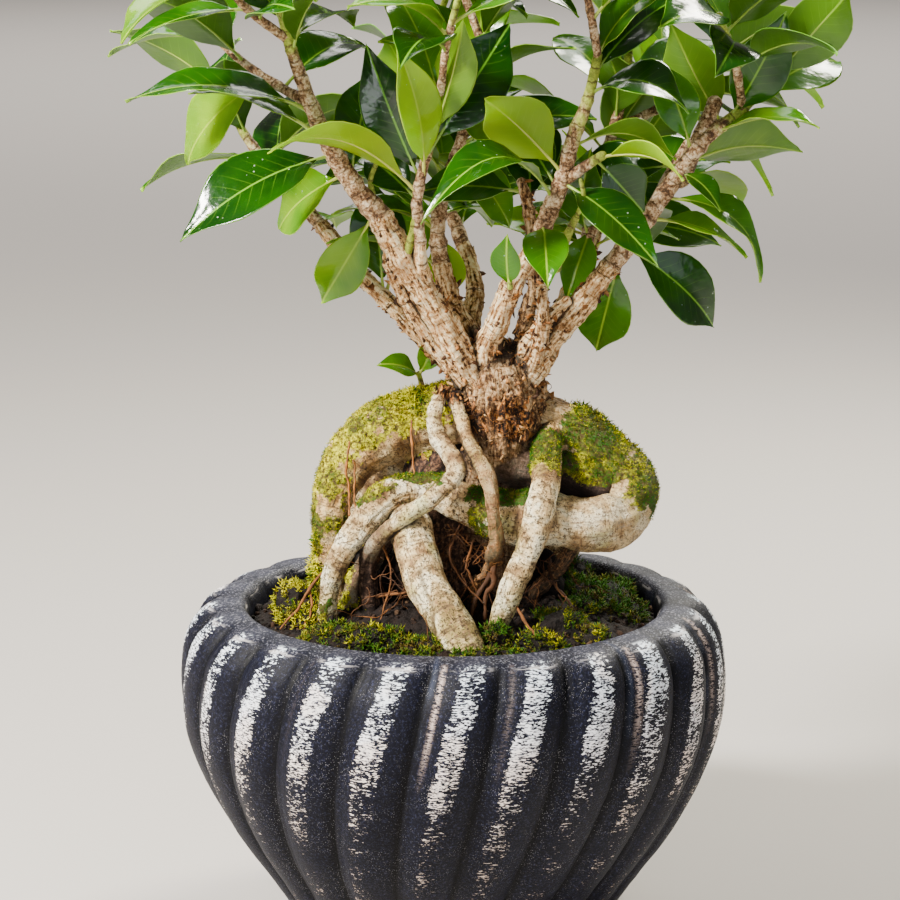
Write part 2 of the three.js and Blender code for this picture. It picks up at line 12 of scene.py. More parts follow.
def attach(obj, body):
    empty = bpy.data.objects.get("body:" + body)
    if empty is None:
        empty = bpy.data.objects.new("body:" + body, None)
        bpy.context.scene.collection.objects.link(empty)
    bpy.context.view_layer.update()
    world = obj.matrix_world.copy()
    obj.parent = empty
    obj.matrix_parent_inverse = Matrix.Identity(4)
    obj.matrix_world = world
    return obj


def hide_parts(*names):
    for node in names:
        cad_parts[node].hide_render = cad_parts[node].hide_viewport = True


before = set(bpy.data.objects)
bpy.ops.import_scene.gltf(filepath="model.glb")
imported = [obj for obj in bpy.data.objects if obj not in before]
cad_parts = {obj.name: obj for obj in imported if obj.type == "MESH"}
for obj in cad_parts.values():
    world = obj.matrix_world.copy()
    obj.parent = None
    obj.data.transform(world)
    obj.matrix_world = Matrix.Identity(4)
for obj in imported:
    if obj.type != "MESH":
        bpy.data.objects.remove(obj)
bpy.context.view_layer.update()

mm = 0.001
fullTurn = 2 * math.pi

# Random numbers and smooth noise
drawsFor = np.random.default_rng
noiseTable = drawsFor(7).random(4096)
noiseStrides = (73856093, 19349663, 83492791)


def noiseAt(points, size, shift=0.0):
    place = np.asarray(points, float) / size + shift * 17.31
    cell = np.floor(place).astype(np.int64)
    part = place - cell
    part = part * part * (3 - 2 * part)
    total = np.zeros(len(place))
    for corner in itertools.product((0, 1), repeat=3):
        key = np.bitwise_xor.reduce((cell + corner) * noiseStrides, axis=1)
        total += noiseTable[key & 4095] * np.prod(np.where(corner, part, 1 - part), axis=1)
    return total * 2 - 1  # from -1 to 1


def roughAt(points, size, shift=0.0, octaves=3):
    return sum(noiseAt(points, size / 2**k, shift + k) / 2**k for k in range(octaves))


def smoothStep(low, high, value):
    t = np.clip((value - low) / (high - low), 0, 1)
    return t * t * (3 - 2 * t)


def bell(distance, width):
    return np.exp(-((distance / width) ** 2))


def unit(vectors):
    vectors = np.asarray(vectors, float)
    return vectors / np.maximum(np.linalg.norm(vectors, axis=-1, keepdims=True), 1e-9)


def turnsOf(count):
    return np.arange(count) * 2 * math.pi / count


# Points round the upright axis, from the front and to the right
def around(radius, turn, height):
    return np.stack(np.broadcast_arrays(radius * np.sin(turn), -radius * np.cos(turn), height), axis=-1)


# Piles gather points, faces and marks until they become one piece
def newPile():
    return {"points": [], "faces": [], "marks": {}, "count": 0}


def addPart(pile, points, faces, **marks):
    for corners in faces if isinstance(faces, tuple) else (faces,):
        pile["faces"].extend((np.asarray(corners) + pile["count"]).tolist())
    pile["points"].append(np.asarray(points, float))
    for label, values in marks.items():
        spread = np.broadcast_to(np.asarray(values, float), len(points))
        pile["marks"].setdefault(label, []).append(spread)
    pile["count"] += len(points)


def meshOf(name, pile):
    mesh = bpy.data.meshes.new(name)
    mesh.from_pydata((np.concatenate(pile["points"]) * mm).tolist(), [], pile["faces"])
    for label, parts in pile["marks"].items():
        mark(mesh, label, np.concatenate(parts))
    return mesh


def mark(mesh, label, values):
    layer = mesh.attributes.new(label, "FLOAT", "POINT")
    layer.data.foreach_set("value", np.asarray(values, np.float32))


def makePiece(name, shape, material, slot, *replaced):
    mesh = meshOf(name, shape) if isinstance(shape, dict) else shape
    mesh.materials.clear()
    mesh.materials.append(material)
    mesh.polygons.foreach_set("use_smooth", np.ones(len(mesh.polygons), bool))
    piece = bpy.data.objects.new(name, mesh)
    bpy.context.scene.collection.objects.link(piece)
    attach(piece, "root")
    if replaced:
        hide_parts(*replaced)
    print(f"{name}: {sum(len(p.vertices) - 2 for p in mesh.polygons)} triangles")


# Courses: a centripetal curve through points of x, y, z and radius
courseSteps = 200


def curveAt(centres, t):
    last = len(centres) - 1
    padded = np.vstack([2 * centres[0] - centres[1], centres, 2 * centres[-1] - centres[-2]])
    place = np.atleast_1d(t) * last
    before = np.minimum(np.floor(place).astype(int), last - 1)
    w = (place - before)[:, None]
    p0, p1, p2, p3 = (padded[before + k] for k in range(4))
    pairs = ((p0, p1), (p1, p2), (p2, p3))
    d0, d1, d2 = (np.sum((b - a) ** 2, axis=1)[:, None] ** 0.25 for a, b in pairs)
    m1 = ((p1 - p0) / d0 - (p2 - p0) / (d0 + d1) + (p2 - p1) / d1) * d1
    m2 = ((p2 - p1) / d1 - (p3 - p1) / (d1 + d2) + (p3 - p2) / d2) * d1
    return p1 + m1 * w + (3 * (p2 - p1) - 2 * m1 - m2) * w**2 + (2 * (p1 - p2) + m1 + m2) * w**3


def courseOf(points):
    table = np.array(points, float)
    steps = np.arange(courseSteps + 1) / courseSteps
    spans = np.linalg.norm(np.diff(curveAt(table[:, :3], steps), axis=0), axis=1)
    run = np.concatenate([[0], np.cumsum(spans)])
    return {"centres": table[:, :3], "radii": table[:, 3], "steps": steps, "run": run, "length": run[-1]}


def placeOn(course, share):
    return np.interp(np.atleast_1d(share) * course["length"], course["run"], course["steps"])


def pointOn(course, share):
    return curveAt(course["centres"], placeOn(course, share))


def alongAt(course, share):
    t = placeOn(course, share)
    after = curveAt(course["centres"], np.minimum(t + 1e-4, 1))
    return unit(after - curveAt(course["centres"], np.maximum(t - 1e-4, 0)))


def radiusOn(course, share):
    last = len(course["radii"]) - 1
    return np.interp(placeOn(course, share) * last, np.arange(last + 1), course["radii"])


# Shares, runs, points and radii at even steps of a course
def sampled(points, step, more=2):
    course = courseOf(points)
    share = np.linspace(0, 1, int(course["length"] / step) + more)
    return share, share * course["length"], pointOn(course, share), radiusOn(course, share)


# Directions across a line, carried along it without twisting
def crossDirections(line):
    along = unit(np.gradient(line, axis=0))
    start = np.cross(along[0], (0.3, 0.2, 1) if abs(along[0][2]) < 0.9 else (1, 0.2, 0.1))
    across = [unit(start)]
    for direction in along[1:]:
        across.append(unit(across[-1] - direction * np.dot(across[-1], direction)))
    across = np.array(across)
    return along, across, np.cross(along, across)


# Points and faces of a body of rings that one point closes at each end
def closed(rings, tips):
    count, sides = rings.shape[:2]
    here, after = np.arange(sides), (np.arange(sides) + 1) % sides
    start = (np.arange(count - 1) * sides)[:, None]
    quads = np.stack([start + here, start + after, start + sides + after, start + sides + here], axis=-1)
    last, tip = (count - 1) * sides, count * sides
    ends = ((after, here, tip), (last + here, last + after, tip + 1))
    fans = [np.stack([one, two, np.full(sides, three)], axis=1) for one, two, three in ends]
    return np.vstack([rings.reshape(-1, 3), *tips]), (quads.reshape(-1, 4), np.vstack(fans))


# A closed tube along a line. Its radii may be one row or a table of rings by sides.
def tubeOf(line, radii, sides):
    line, radii = np.asarray(line, float), np.asarray(radii, float)
    radii = radii if radii.ndim == 2 else np.repeat(radii[:, None], sides, axis=1)
    along, east, north = crossDirections(line)
    ends = radii[[0, -1]].mean(axis=1)
    line = np.vstack([line[0] - along[0] * ends[0] * 0.5, line, line[-1] + along[-1] * ends[1] * 0.5])
    radii = np.vstack([radii[0] * 0.62, radii, radii[-1] * 0.62])
    east, north = (np.vstack([side[0], side, side[-1]]) for side in (east, north))
    turn = turnsOf(sides)[:, None]
    rings = line[:, None] + (east[:, None] * np.cos(turn) + north[:, None] * np.sin(turn)) * radii[:, :, None]
    tips = (line[0] - along[0] * ends[0] * 0.25, line[-1] + along[-1] * ends[1] * 0.25)
    share = np.linspace(0, 1, len(rings)).repeat(sides)
    return *closed(rings, tips), np.append(share, (0, 1))


# Unevenness along and round a limb
def roughRound(run, width, sides, size, shift, octaves=3):
    turn = turnsOf(sides)
    place = np.stack(np.broadcast_arrays(run[:, None], width * np.cos(turn), width * np.sin(turn)), axis=-1)
    return roughAt(place.reshape(-1, 3), size, shift, octaves).reshape(len(run), sides)


# Copies of a small shape, turned to stand on a surface
def addCopies(pile, shape, spots, ups, sizes, draws, lean, **marks):
    points, faces = shape
    count = len(spots)
    ups = unit(ups + draws.normal(0, lean, (count, 3)))
    east = unit(np.cross(ups, draws.normal(0, 1, (count, 3))))
    axes = np.stack([east, np.cross(ups, east), ups], axis=1)
    placed = spots[:, None] + (points * np.reshape(sizes, (count, 1, -1))) @ axes
    corners = faces[None] + (np.arange(count) * len(points))[:, None, None]
    spread = {label: np.repeat(values, len(points)) for label, values in marks.items()}
    addPart(pile, placed.reshape(-1, 3), corners.reshape(-1, faces.shape[1]), **spread)


# Random spots on a mesh, as many to each square millimetre as the weights ask
def scatterOn(mesh, weights, perArea, draws):
    mesh.calc_loop_triangles()
    corners = np.zeros(len(mesh.loop_triangles) * 3, np.int32)
    mesh.loop_triangles.foreach_get("vertices", corners)
    corners = corners.reshape(-1, 3)
    points = pointsOf(mesh)[corners]
    normal = np.cross(points[:, 1] - points[:, 0], points[:, 2] - points[:, 0])
    area = np.linalg.norm(normal, axis=1) / 2
    share = area * weights[corners].mean(axis=1)
    total = int(share.sum() * perArea)
    if not total:
        return np.zeros((0, 3)), np.zeros((0, 3))
    chosen = draws.choice(len(corners), total, p=share / share.sum())
    mix = draws.dirichlet((1, 1, 1), total)
    return (points[chosen] * mix[..., None]).sum(axis=1), unit(normal[chosen])


def pointsOf(mesh):
    table = np.zeros(len(mesh.vertices) * 3)
    mesh.vertices.foreach_get("co", table)
    return table.reshape(-1, 3) / mm


def normalsOf(mesh):
    table = np.zeros(len(mesh.vertices) * 3, np.float32)
    mesh.vertex_normals.foreach_get("vector", table)
    return table.reshape(-1, 3).astype(float)


def movePoints(mesh, points):
    mesh.vertices.foreach_set("co", (points * mm).ravel())
    mesh.update()


# Materials are made one at a time, and this holds the one that is being made
making = {}


# A node's output, which is added to, subtracted from and multiplied like a number
class Wire:
    def __init__(self, socket):
        self.socket = socket

    def __add__(self, other):
        return maths("ADD", self, other)

    def __sub__(self, other):
        return maths("SUBTRACT", self, other)

    def __mul__(self, other):
        return maths("MULTIPLY", self, other)


def connect(value, socket):
    if isinstance(value, Wire):
        making["tree"].links.new(value.socket, socket)
    else:
        socket.default_value = (*value, 1) if socket.type == "RGBA" else value


def put(kind, output, inputs=None, **settings):
    node = making["tree"].nodes.new("ShaderNode" + kind)
    for key, value in settings.items():
        setattr(node, key, value)
    for key, value in (inputs or {}).items():
        connect(value, node.inputs[key])
    return Wire(node.outputs[output])


def maths(operation, *values):
    return put("Math", 0, dict(enumerate(values)), operation=operation)


def marked(label, output="Fac"):
    return put("Attribute", output, attribute_name=label)


def heightOf(place):
    return put("SeparateXYZ", 2, {0: place})


def stretched(place, scale):
    return put("Mapping", 0, {"Vector": place, "Scale": scale})


def grain(place, scale, detail=3, roughness=0.55):
    return put("TexNoise", 0, {"Vector": place, "Scale": scale, "Detail": detail, "Roughness": roughness})


def cells(place, scale):
    return put("TexVoronoi", "Distance", {"Vector": place, "Scale": scale})


def within(value, low, high, start=0, end=1):
    inputs = {"Value": value, "From Min": low, "From Max": high, "To Min": start, "To Max": end}
    return put("MapRange", 0, inputs, interpolation_type="SMOOTHSTEP")


# A line at the middle of each whole step of a value
def stripes(value, wide, narrow, strength=1):
    return within(maths("ABSOLUTE", maths("FRACT", value) - 0.5), wide, narrow, 0, strength)


def blend(share, first, second, how="MIX"):
    return put("Mix", 2, {0: share, 6: first, 7: second}, data_type="RGBA", blend_type=how)


# A ramp through stops of place, red, green and blue
def shades(value, stops):
    node = making["tree"].nodes.new("ShaderNodeValToRGB")
    connect(value, node.inputs[0])
    band = node.color_ramp
    while len(band.elements) < len(stops):
        band.elements.new(0.5)
    for element, (place, *colour) in zip(band.elements, stops):
        element.position = place
        element.color = (*colour, 1)
    return Wire(node.outputs[0])


def raised(height, distance, strength, normal=None):
    under = {} if normal is None else {"Normal": normal}
    return put("Bump", 0, {"Height": height, "Distance": distance, "Strength": strength, **under})


def newMaterial(name, shine):
    material = bpy.data.materials.new(name)
    material.use_nodes = True
    surface = material.node_tree.nodes["Principled BSDF"]
    surface.inputs["Specular IOR Level"].default_value = shine
    making.update(material=material, tree=material.node_tree, surface=surface)
    return put("TexCoord", "Object")


# Closes the material. Its glow is the share of light that shines through, tinted.
def finishWith(colour, roughness, normal, glow=None, tint=None):
    surface = making["surface"]
    for label, value in (("Base Color", colour), ("Roughness", roughness), ("Normal", normal)):
        connect(value, surface.inputs[label])
    if glow is not None:
        through = put("BsdfTranslucent", 0, {"Color": tint})
        both = put("MixShader", 0, {0: glow, 1: Wire(surface.outputs[0]), 2: through})
        connect(both, making["tree"].nodes["Material Output"].inputs["Surface"])
    return making["material"]


# Trunk, roots and branches as points of x, y, z and radius
limbs = {
    "core": [(13, 0, 178, 13), (14, -1, 168, 15), (14, -2, 158, 13), (14, 0, 147, 10.5), (13, 3, 130, 9.5),
        (11, 4, 108, 10), (11, 4, 90, 9)],
    "leftShoulder": [(8, 2, 163, 9.5), (-4, 3, 161, 10.5), (-19, 4, 157, 10.5), (-31, 3, 149, 8.5),
        (-37, 0, 139, 7), (-39, -2, 126, 5.5), (-38, -3, 110, 5), (-36, -4, 90, 4)],
    "rightLobe": [(19, 2, 162, 9.5), (30, 2, 159, 9.5), (41, -1, 155, 10), (51, -4, 148, 9.6),
        (55, -9, 140, 9.2), (52, -15, 134, 8.6), (43, -20, 133, 8.5), (31, -21, 134, 8.5),
        (20, -20, 134, 8.5), (8, -18, 137, 7), (-3, -17, 141, 5.5), (-13, -17, 143, 4.5), (-21, -18, 140, 5),
        (-29, -19, 131, 4.5), (-34, -19, 124, 3.5), (-38, -18, 113, 3), (-39, -17, 101, 3),
        (-38, -16, 91, 2)],
    "lobeHeart": [(16, -4, 150, 9), (30, -5, 147, 8.5), (42, -8, 144, 8.5), (48, -9, 141, 8)],
    "frontLeg": [(-16, -14, 137, 5.5), (-13, -22, 130, 7), (-8, -34, 118, 6.5), (-2, -43, 109, 6.2),
        (3, -49, 101, 6.5), (6, -53, 91, 5)],
    "rightLeg": [(31, -6, 159, 3.5), (29, -16, 152, 4.5), (28, -26, 146, 4.5), (26, -31, 139, 4.5),
        (22, -33, 126, 4), (16, -33, 111, 4), (11, -32, 94, 2.5)],
    "elbowRoot": [(-3, -10, 173, 1.8), (-6, -15, 165, 2.5), (-5, -18, 160, 2.8), (1, -26, 151, 3.3),
        (-5, -29, 144, 2.8), (-13, -28, 138, 2.7), (-21, -25, 131, 2.5), (-25, -21, 125, 2.5),
        (-27, -15, 116, 3), (-24, -11, 95, 3)],
    "hangingRoot": [(0, -11, 171, 1.8), (4, -18, 160, 2.3), (10, -27, 149, 2.4), (12, -31, 140, 2.3),
        (13, -30, 130, 2.5), (11, -25, 121, 2.3), (6, -19, 111, 1.7), (4, -17, 97, 1.4)],
    "rightBackRoot": [(40, -8, 128, 2.6), (33, -5, 115, 2.6), (26, -4, 107, 2.5), (24, -4, 94, 2)],
    "leftInnerRoot": [(-11, 0, 138, 4.5), (-24, -4, 121, 4), (-31, -8, 106, 4), (-32, -9, 91, 3)],
    "innerMass": [(2, 2, 150, 8), (-8, 2, 144, 7), (-5, 1, 133, 8), (-4, 0, 116, 9), (-2, 0, 91, 8)],
    "backTuber": [(12, 8, 160, 9), (14, 24, 152, 10), (12, 36, 138, 10), (6, 38, 122, 9), (2, 34, 108, 8),
        (2, 32, 91, 6)],
    "backLeftTuber": [(0, 8, 158, 8), (-14, 20, 150, 9), (-26, 28, 136, 8), (-30, 30, 120, 6.5),
        (-30, 27, 105, 5.5), (-28, 25, 91, 4)],
    "backRightTuber": [(24, 6, 158, 8), (36, 16, 148, 9), (42, 23, 134, 8), (37, 27, 118, 6.5),
        (30, 27, 104, 5.5), (28, 26, 91, 4)],
    "leftBranch": [(10, -4, 171, 5.5), (4, -7, 179, 5.2), (-1, -10, 189, 4.8), (-9, -13, 203, 4.5),
        (-18, -16, 219, 4.1), (-22, -17, 227, 3.9)],
    "leftBranchRidge": [(3, -8, 175, 3), (-6, -11, 187, 2.3), (-14, -14, 200, 2), (-20, -16, 213, 1.6)],
    "leftShoot": [(-7, -13, 203, 2), (-10, -18, 214, 1.9), (-10, -19, 219, 1.8)],
    "centreLeftBranch": [(10, 3, 175, 4), (5, 5, 186, 3.5), (-1, 7, 198, 3.1), (-4, 8, 209, 2.9)],
    "middleBranch": [(11, -4, 173, 4.5), (10, -8, 185, 3.7), (14, -10, 195, 3.4), (18, -12, 206, 3.2),
        (24, -13, 216, 3)],
    "deadBranch": [(19, 2, 180, 2.6), (25, 2, 205, 2), (24, 1, 222, 1.7), (21, 0, 236, 1.3)],
    "frontStub": [(23, -6, 176, 2.6), (27, -11, 190, 2.1), (27, -15, 205, 1.7)],
    "rightBranch": [(14, -2, 168, 5.5), (23, -4, 177, 4.6), (30, -5, 187, 4), (38, -5, 197, 3.6),
        (48, -5, 210, 3.2)],
    "lowRightTwig": [(20, -4, 177, 2.6), (22, -8, 186, 2), (28, -9, 194, 1.9), (35, -7, 200, 1.6)],
    "backMiddleBranch": [(21, 4, 174, 3.8), (30, 9, 187, 3.2), (36, 12, 199, 2.8), (41, 14, 212, 2.4)],
    "backBranch": [(8, 8, 172, 3.8), (5, 20, 185, 3.2), (7, 30, 198, 2.8), (3, 38, 211, 2.5)],
    "backRightBranch": [(18, 8, 170, 3.8), (30, 24, 184, 3.2), (40, 36, 200, 2.8), (46, 44, 216, 2.4)],
    "backLeftBranch": [(4, 6, 172, 3.6), (-12, 14, 188, 3), (-30, 20, 205, 2.6), (-42, 25, 219, 2.3)],
}
# Leafy stems with how many leaves grow on each by rule and from what share of it, and the leaves that are
# listed one by one: foot, tip, width, facing, arch
sprays = {
    "leftTip": {"count": 4, "first": 0.62,
        "stem": [(-22, -17, 227, 3.6), (-30, -19, 237, 3.2), (-40, -22, 255, 2.6), (-45, -24, 269, 2),
            (-50, -25, 286, 1.5), (-50, -24, 304, 1.1)],
        "leaves": [
            ((-36, -20, 246), (-81, -36, 222), 22, (-0.2, -0.75, 0.65), 0.13),
            ((-44, -23, 260), (-98, -20, 262), 20, (0, -0.3, 0.95), 0.12),
            ((-43, -22, 254), (-80, -12, 264), 16, (0, -0.15, 1), 0.1),
            ((-33, -18, 240), (-54, 6, 220), 20, (-0.3, -0.8, 0.5), 0.1),
            ((-24, -17, 228), (-41, 0, 198), 15, (0.2, -0.9, 0.4), 0.12),
            ((-31, -19, 239), (-24, -5, 271), 16, (-0.1, -0.95, 0.25), 0.1),
        ],
    },
    "leftShoot": {"count": 1, "first": 0.85,
        "stem": [(-10, -19, 219, 1.8), (-11, -21, 232, 1.7), (-9, -24, 243, 1.5), (-6, -26, 253, 1.3),
            (-4, -28, 266, 1.1)],
        "leaves": [
            ((-11, -22, 235), (-54, -51, 250), 17, (0.1, 0.6, 0.8), 0.2),
            ((-10, -22, 239), (-26, -30, 280), 17, (-0.2, -0.95, 0.1), 0.08),
            ((-9, -24, 241), (-17, -40, 281), 15, (0.5, -0.8, 0.1), 0.1),
            ((-7, -25, 248), (-11, -14, 286), 13, (-0.5, -0.7, 0.4), 0.08),
            ((-7, -26, 248), (17, -12, 285), 21, (0.2, -0.95, 0.35), 0.08),
            ((-6, -27, 252), (3, -38, 288), 14, (0.5, 0.6, 0.5), 0.06),
            ((-11, -22, 233), (-27, -5, 244), 13, (0, -0.9, 0.45), 0.12),
        ],
    },
    "centreLeft": {"count": 5, "first": 0.4,
        "stem": [(-4, 8, 209, 2.8), (-5, 9, 220, 2.5), (-3, 11, 232, 2.2), (2, 13, 246, 1.9),
            (6, 13, 262, 1.6), (8, 11, 280, 1.3)],
        "leaves": [
            ((-5, 9, 220), (0, 20, 197), 12, (-0.1, -0.9, 0.4), 0.1),
            ((1, 13, 242), (18, 23, 218), 15, (0.2, -0.8, 0.6), 0.1),
            ((5, 13, 258), (14, -8, 244), 11, (0, -0.9, 0.4), 0.1),
        ],
    },
    "middle": {"count": 2, "first": 0.86,
        "stem": [(24, -13, 216, 2.9), (29, -14, 228, 2.8), (33, -15, 239, 2.5), (36, -16, 251, 2.2),
            (40, -17, 262, 1.8), (43, -18, 276, 1.4)],
        "shoots": [[(34, -15, 238, 1.8), (39, -17, 242, 1.6), (45, -18, 246, 1.3)]],
        "leaves": [
            ((30, -14, 232), (-10, -43, 228), 17, (-0.2, -0.5, 0.85), 0.36),
            ((32, -16, 241), (9, -35, 264), 20, (-0.2, 0.75, 0.5), 0.1),
            ((31, -14, 236), (17, 1, 256), 14, (0, -0.95, 0.3), 0.08),
            ((36, -16, 248), (68, -5, 243), 15, (0, 0.45, 0.9), 0.2),
            ((41, -17, 264), (70, -26, 259), 19, (0.2, -0.5, 0.85), 0.26),
            ((33, -15, 237), (61, -33, 214), 16, (0.1, -0.7, 0.7), 0.1),
            ((44, -18, 245), (68, -34, 240), 15, (0, 0.55, 0.83), 0.16),
            ((43, -17, 244), (58, -7, 227), 16, (0.1, -0.95, 0.2), 0.06),
            ((27, -14, 224), (28, -36, 208), 14, (0, -0.85, 0.5), 0.14),
        ],
    },
    "right": {"count": 2, "first": 0.82,
        "stem": [(48, -5, 210, 3.1), (58, -4, 223, 2.9), (67, -3, 236, 2.6), (77, -2, 249, 2.2),
            (88, -1, 258, 1.7), (98, 0, 268, 1.2)],
        "leaves": [
            ((53, -4, 216), (82, 14, 188), 20, (0, -0.85, 0.55), 0.12),
            ((51, -4, 213), (45, 16, 180), 17, (0, -0.9, 0.4), 0.1),
            ((63, -3, 231), (95, 2, 204), 17, (0.3, -0.4, 0.85), 0.26),
            ((69, -3, 239), (81, -12, 228), 9, (0.2, -0.5, 0.85), 0.15),
            ((72, -3, 242), (108, 8, 244), 22, (0.1, 0.7, 0.7), 0.12),
            ((82, -1, 253), (66, 8, 284), 18, (-0.3, 0.8, 0.4), 0.08),
            ((84, -1, 255), (100, -8, 288), 18, (0.3, -0.9, 0.3), 0.08),
            ((80, -2, 251), (110, -16, 254), 15, (0, -0.2, 1), 0.12),
        ],
    },
    "backMiddle": {"count": 5, "first": 0.35,
        "stem": [(41, 14, 212, 2.3), (45, 16, 228, 2.1), (49, 20, 246, 1.8), (54, 24, 264, 1.5),
            (55, 28, 284, 1.2)],
        "leaves": [
            ((43, 15, 220), (35, 8, 197), 11, (0, -0.9, 0.3), 0.1),
            ((48, 19, 242), (66, 26, 268), 22, (0.1, 0.6, 0.6), 0.1),
        ],
    },
    "back": {"count": 6, "first": 0.15,
        "stem": [(3, 38, 211, 2.4), (-3, 46, 226, 2), (-9, 55, 242, 1.6), (-12, 62, 260, 1.2)],
    },
    "backRight": {"count": 6, "first": 0.15,
        "stem": [(46, 44, 216, 2.3), (54, 52, 230, 1.9), (62, 60, 246, 1.5), (66, 66, 262, 1.1)],
    },
    "backLeft": {"count": 6, "first": 0.15,
        "stem": [(-42, 25, 219, 2.2), (-54, 31, 232, 1.8), (-66, 36, 246, 1.5), (-74, 40, 262, 1.1)],
    },
    "leftOuter": {"count": 5, "first": 0.45,
        "stem": [(-43, -23, 262, 1.6), (-56, -12, 268, 1.4), (-70, -4, 278, 1.2), (-80, 2, 290, 1)],
        "leaves": [
            ((-57, -11, 268), (-82, 8, 240), 18, (-0.3, -0.8, 0.4), 0.15),
        ],
    },
    "leftFront": {"count": 5, "first": 0.3,
        "stem": [(-48, -24, 280, 1.4), (-60, -34, 290, 1.2), (-70, -42, 302, 1)],
    },
    "topLeft": {"count": 5, "first": 0.3,
        "stem": [(-50, -24, 297, 1.3), (-44, -10, 306, 1.2), (-38, 4, 318, 1)],
    },
    "topFront": {"count": 5, "first": 0.35,
        "stem": [(-4, -28, 265, 1.2), (-2, -36, 280, 1.1), (2, -44, 296, 1)],
    },
    "topCentre": {"count": 5, "first": 0.3,
        "stem": [(8, 11, 279, 1.3), (2, 12, 296, 1.2), (-2, 14, 314, 1)],
    },
    "topMiddle": {"count": 5, "first": 0.3,
        "stem": [(43, -18, 275, 1.3), (40, -24, 290, 1.2), (36, -26, 306, 1)],
    },
    "topRight": {"count": 5, "first": 0.35,
        "stem": [(88, -1, 258, 1.5), (84, -14, 274, 1.2), (78, -26, 288, 1)],
    },
    "topBackMiddle": {"count": 5, "first": 0.3,
        "stem": [(55, 27, 281, 1.2), (46, 24, 298, 1.1), (40, 22, 314, 1)],
    },
    "rightBackOuter": {"count": 5, "first": 0.35,
        "stem": [(50, 21, 249, 1.6), (68, 26, 258, 1.4), (84, 32, 270, 1.1)],
    },
    "topBack": {"count": 5, "first": 0.3,
        "stem": [(-12, 61, 258, 1.3), (-6, 50, 278, 1.2), (0, 42, 296, 1)],
    },
    "lowLeafMiddle": {
        "stem": [(16, -11, 201, 1), (17, -17, 204, 0.9), (17, -21, 208, 0.8)],
        "leaves": [
            ((17, -20, 206), (16, -25, 223), 10, (-0.4, -0.9, 0.1), 0.08),
        ],
    },
    "shoulderSprout": {
        "stem": [(-10, 6, 164, 1), (-10, 10, 170, 0.9), (-11, 12, 174, 0.8)],
        "leaves": [
            ((-11, 12, 173), (-24, 4, 178), 9, (-0.2, -0.7, 0.7), 0.15),
            ((-11, 12, 173), (-4, 13, 187), 8, (0.2, -0.9, 0.3), 0.1),
        ],
    },
}

# Pot
pot = {
    "ribs": 24,
    "ribDepth": 3.4,
    "ribStart": 5.4,  # degrees
    "ribLevel": 70,
    "ribLean": 0.14,  # degrees for each millimetre of height
    "under": (16, 32, 44, 47),  # radii of the rings under its foot
    "outside": [  # radius, height, and the shares by which a valley lies inward and lower
        (48, 0, 0, 0), (52, 5, 0.3, 0), (63, 21, 1, 0), (72.5, 35, 1, 0), (80.5, 51, 1, 0),
        (85.5, 66, 1, 0), (86.5, 80, 1, 0), (84.2, 94, 1, 0), (79.8, 100.8, 0.85, 0.35),
        (75.5, 103.4, 0.4, 0.25), (71, 104, 0, 0.08), (66.8, 103.8, 0, 0), (64.6, 101, -0.2, 0),
        (64.2, 96, 0, 0)],
    "inside": [(66, 90), (69.5, 84), (72.5, 76), (60, 28)],
    "floor": 13,
    "columnsPerRib": 16,
    "outsideRows": 82,
    "shoulder": (0.07, 0.03, 0.1),  # place across a rib, half width and rise of its lit left edge
    "groove": (0.15, 0.05, 0.12),
    "band": (0.225, 0.73),  # where across a rib its glaze is worn to silver, with a painted highlight along the crest
    "bandEdge": 0.12,
    "bandVaries": 0.022,
    "bandThins": 0.14,  # from its left to its right edge, as painted shade on the side of the crest turned from the light
    "bandRise": (80, 101, 0.1),  # heights between which it moves to the right, following the painted highlight, and how far
    "upper": (66, 90),  # heights between which the thin worn line and the painted highlight along each rib's left edge come in
    "streak": (0.1875, 0.03),  # a second, thin worn line: place and half width
    "litEdge": (0.0625, 0.03),
    "valley": 0.075,  # half width of the painted shade line in the valley between two ribs
    "hammered": 0.16,  # unevenness of the hand-made surface
    "slate": [(0.38, 0.0006, 0.0008, 0.003), (0.56, 0.003, 0.0036, 0.011), (0.7, 0.034, 0.038, 0.08)],
    "silver": [(0.02, 0.5, 0.36, 0.27), (0.055, 0.82, 0.7, 0.62), (0.078, 0.96, 0.94, 0.96),
        (0.1, 0.82, 0.9, 1)],
    "lip": [(0.006, 0.007, 0.015), (0.023, 0.025, 0.043)],  # between the worn bands and on them
}


def ribDepthAt(across):
    rises = [rise * bell(across - place, half) for place, half, rise in (pot["shoulder"], pot["groove"])]
    return 1 - np.sin(math.pi * across**1.12) ** 0.62 - rises[0] + rises[1]


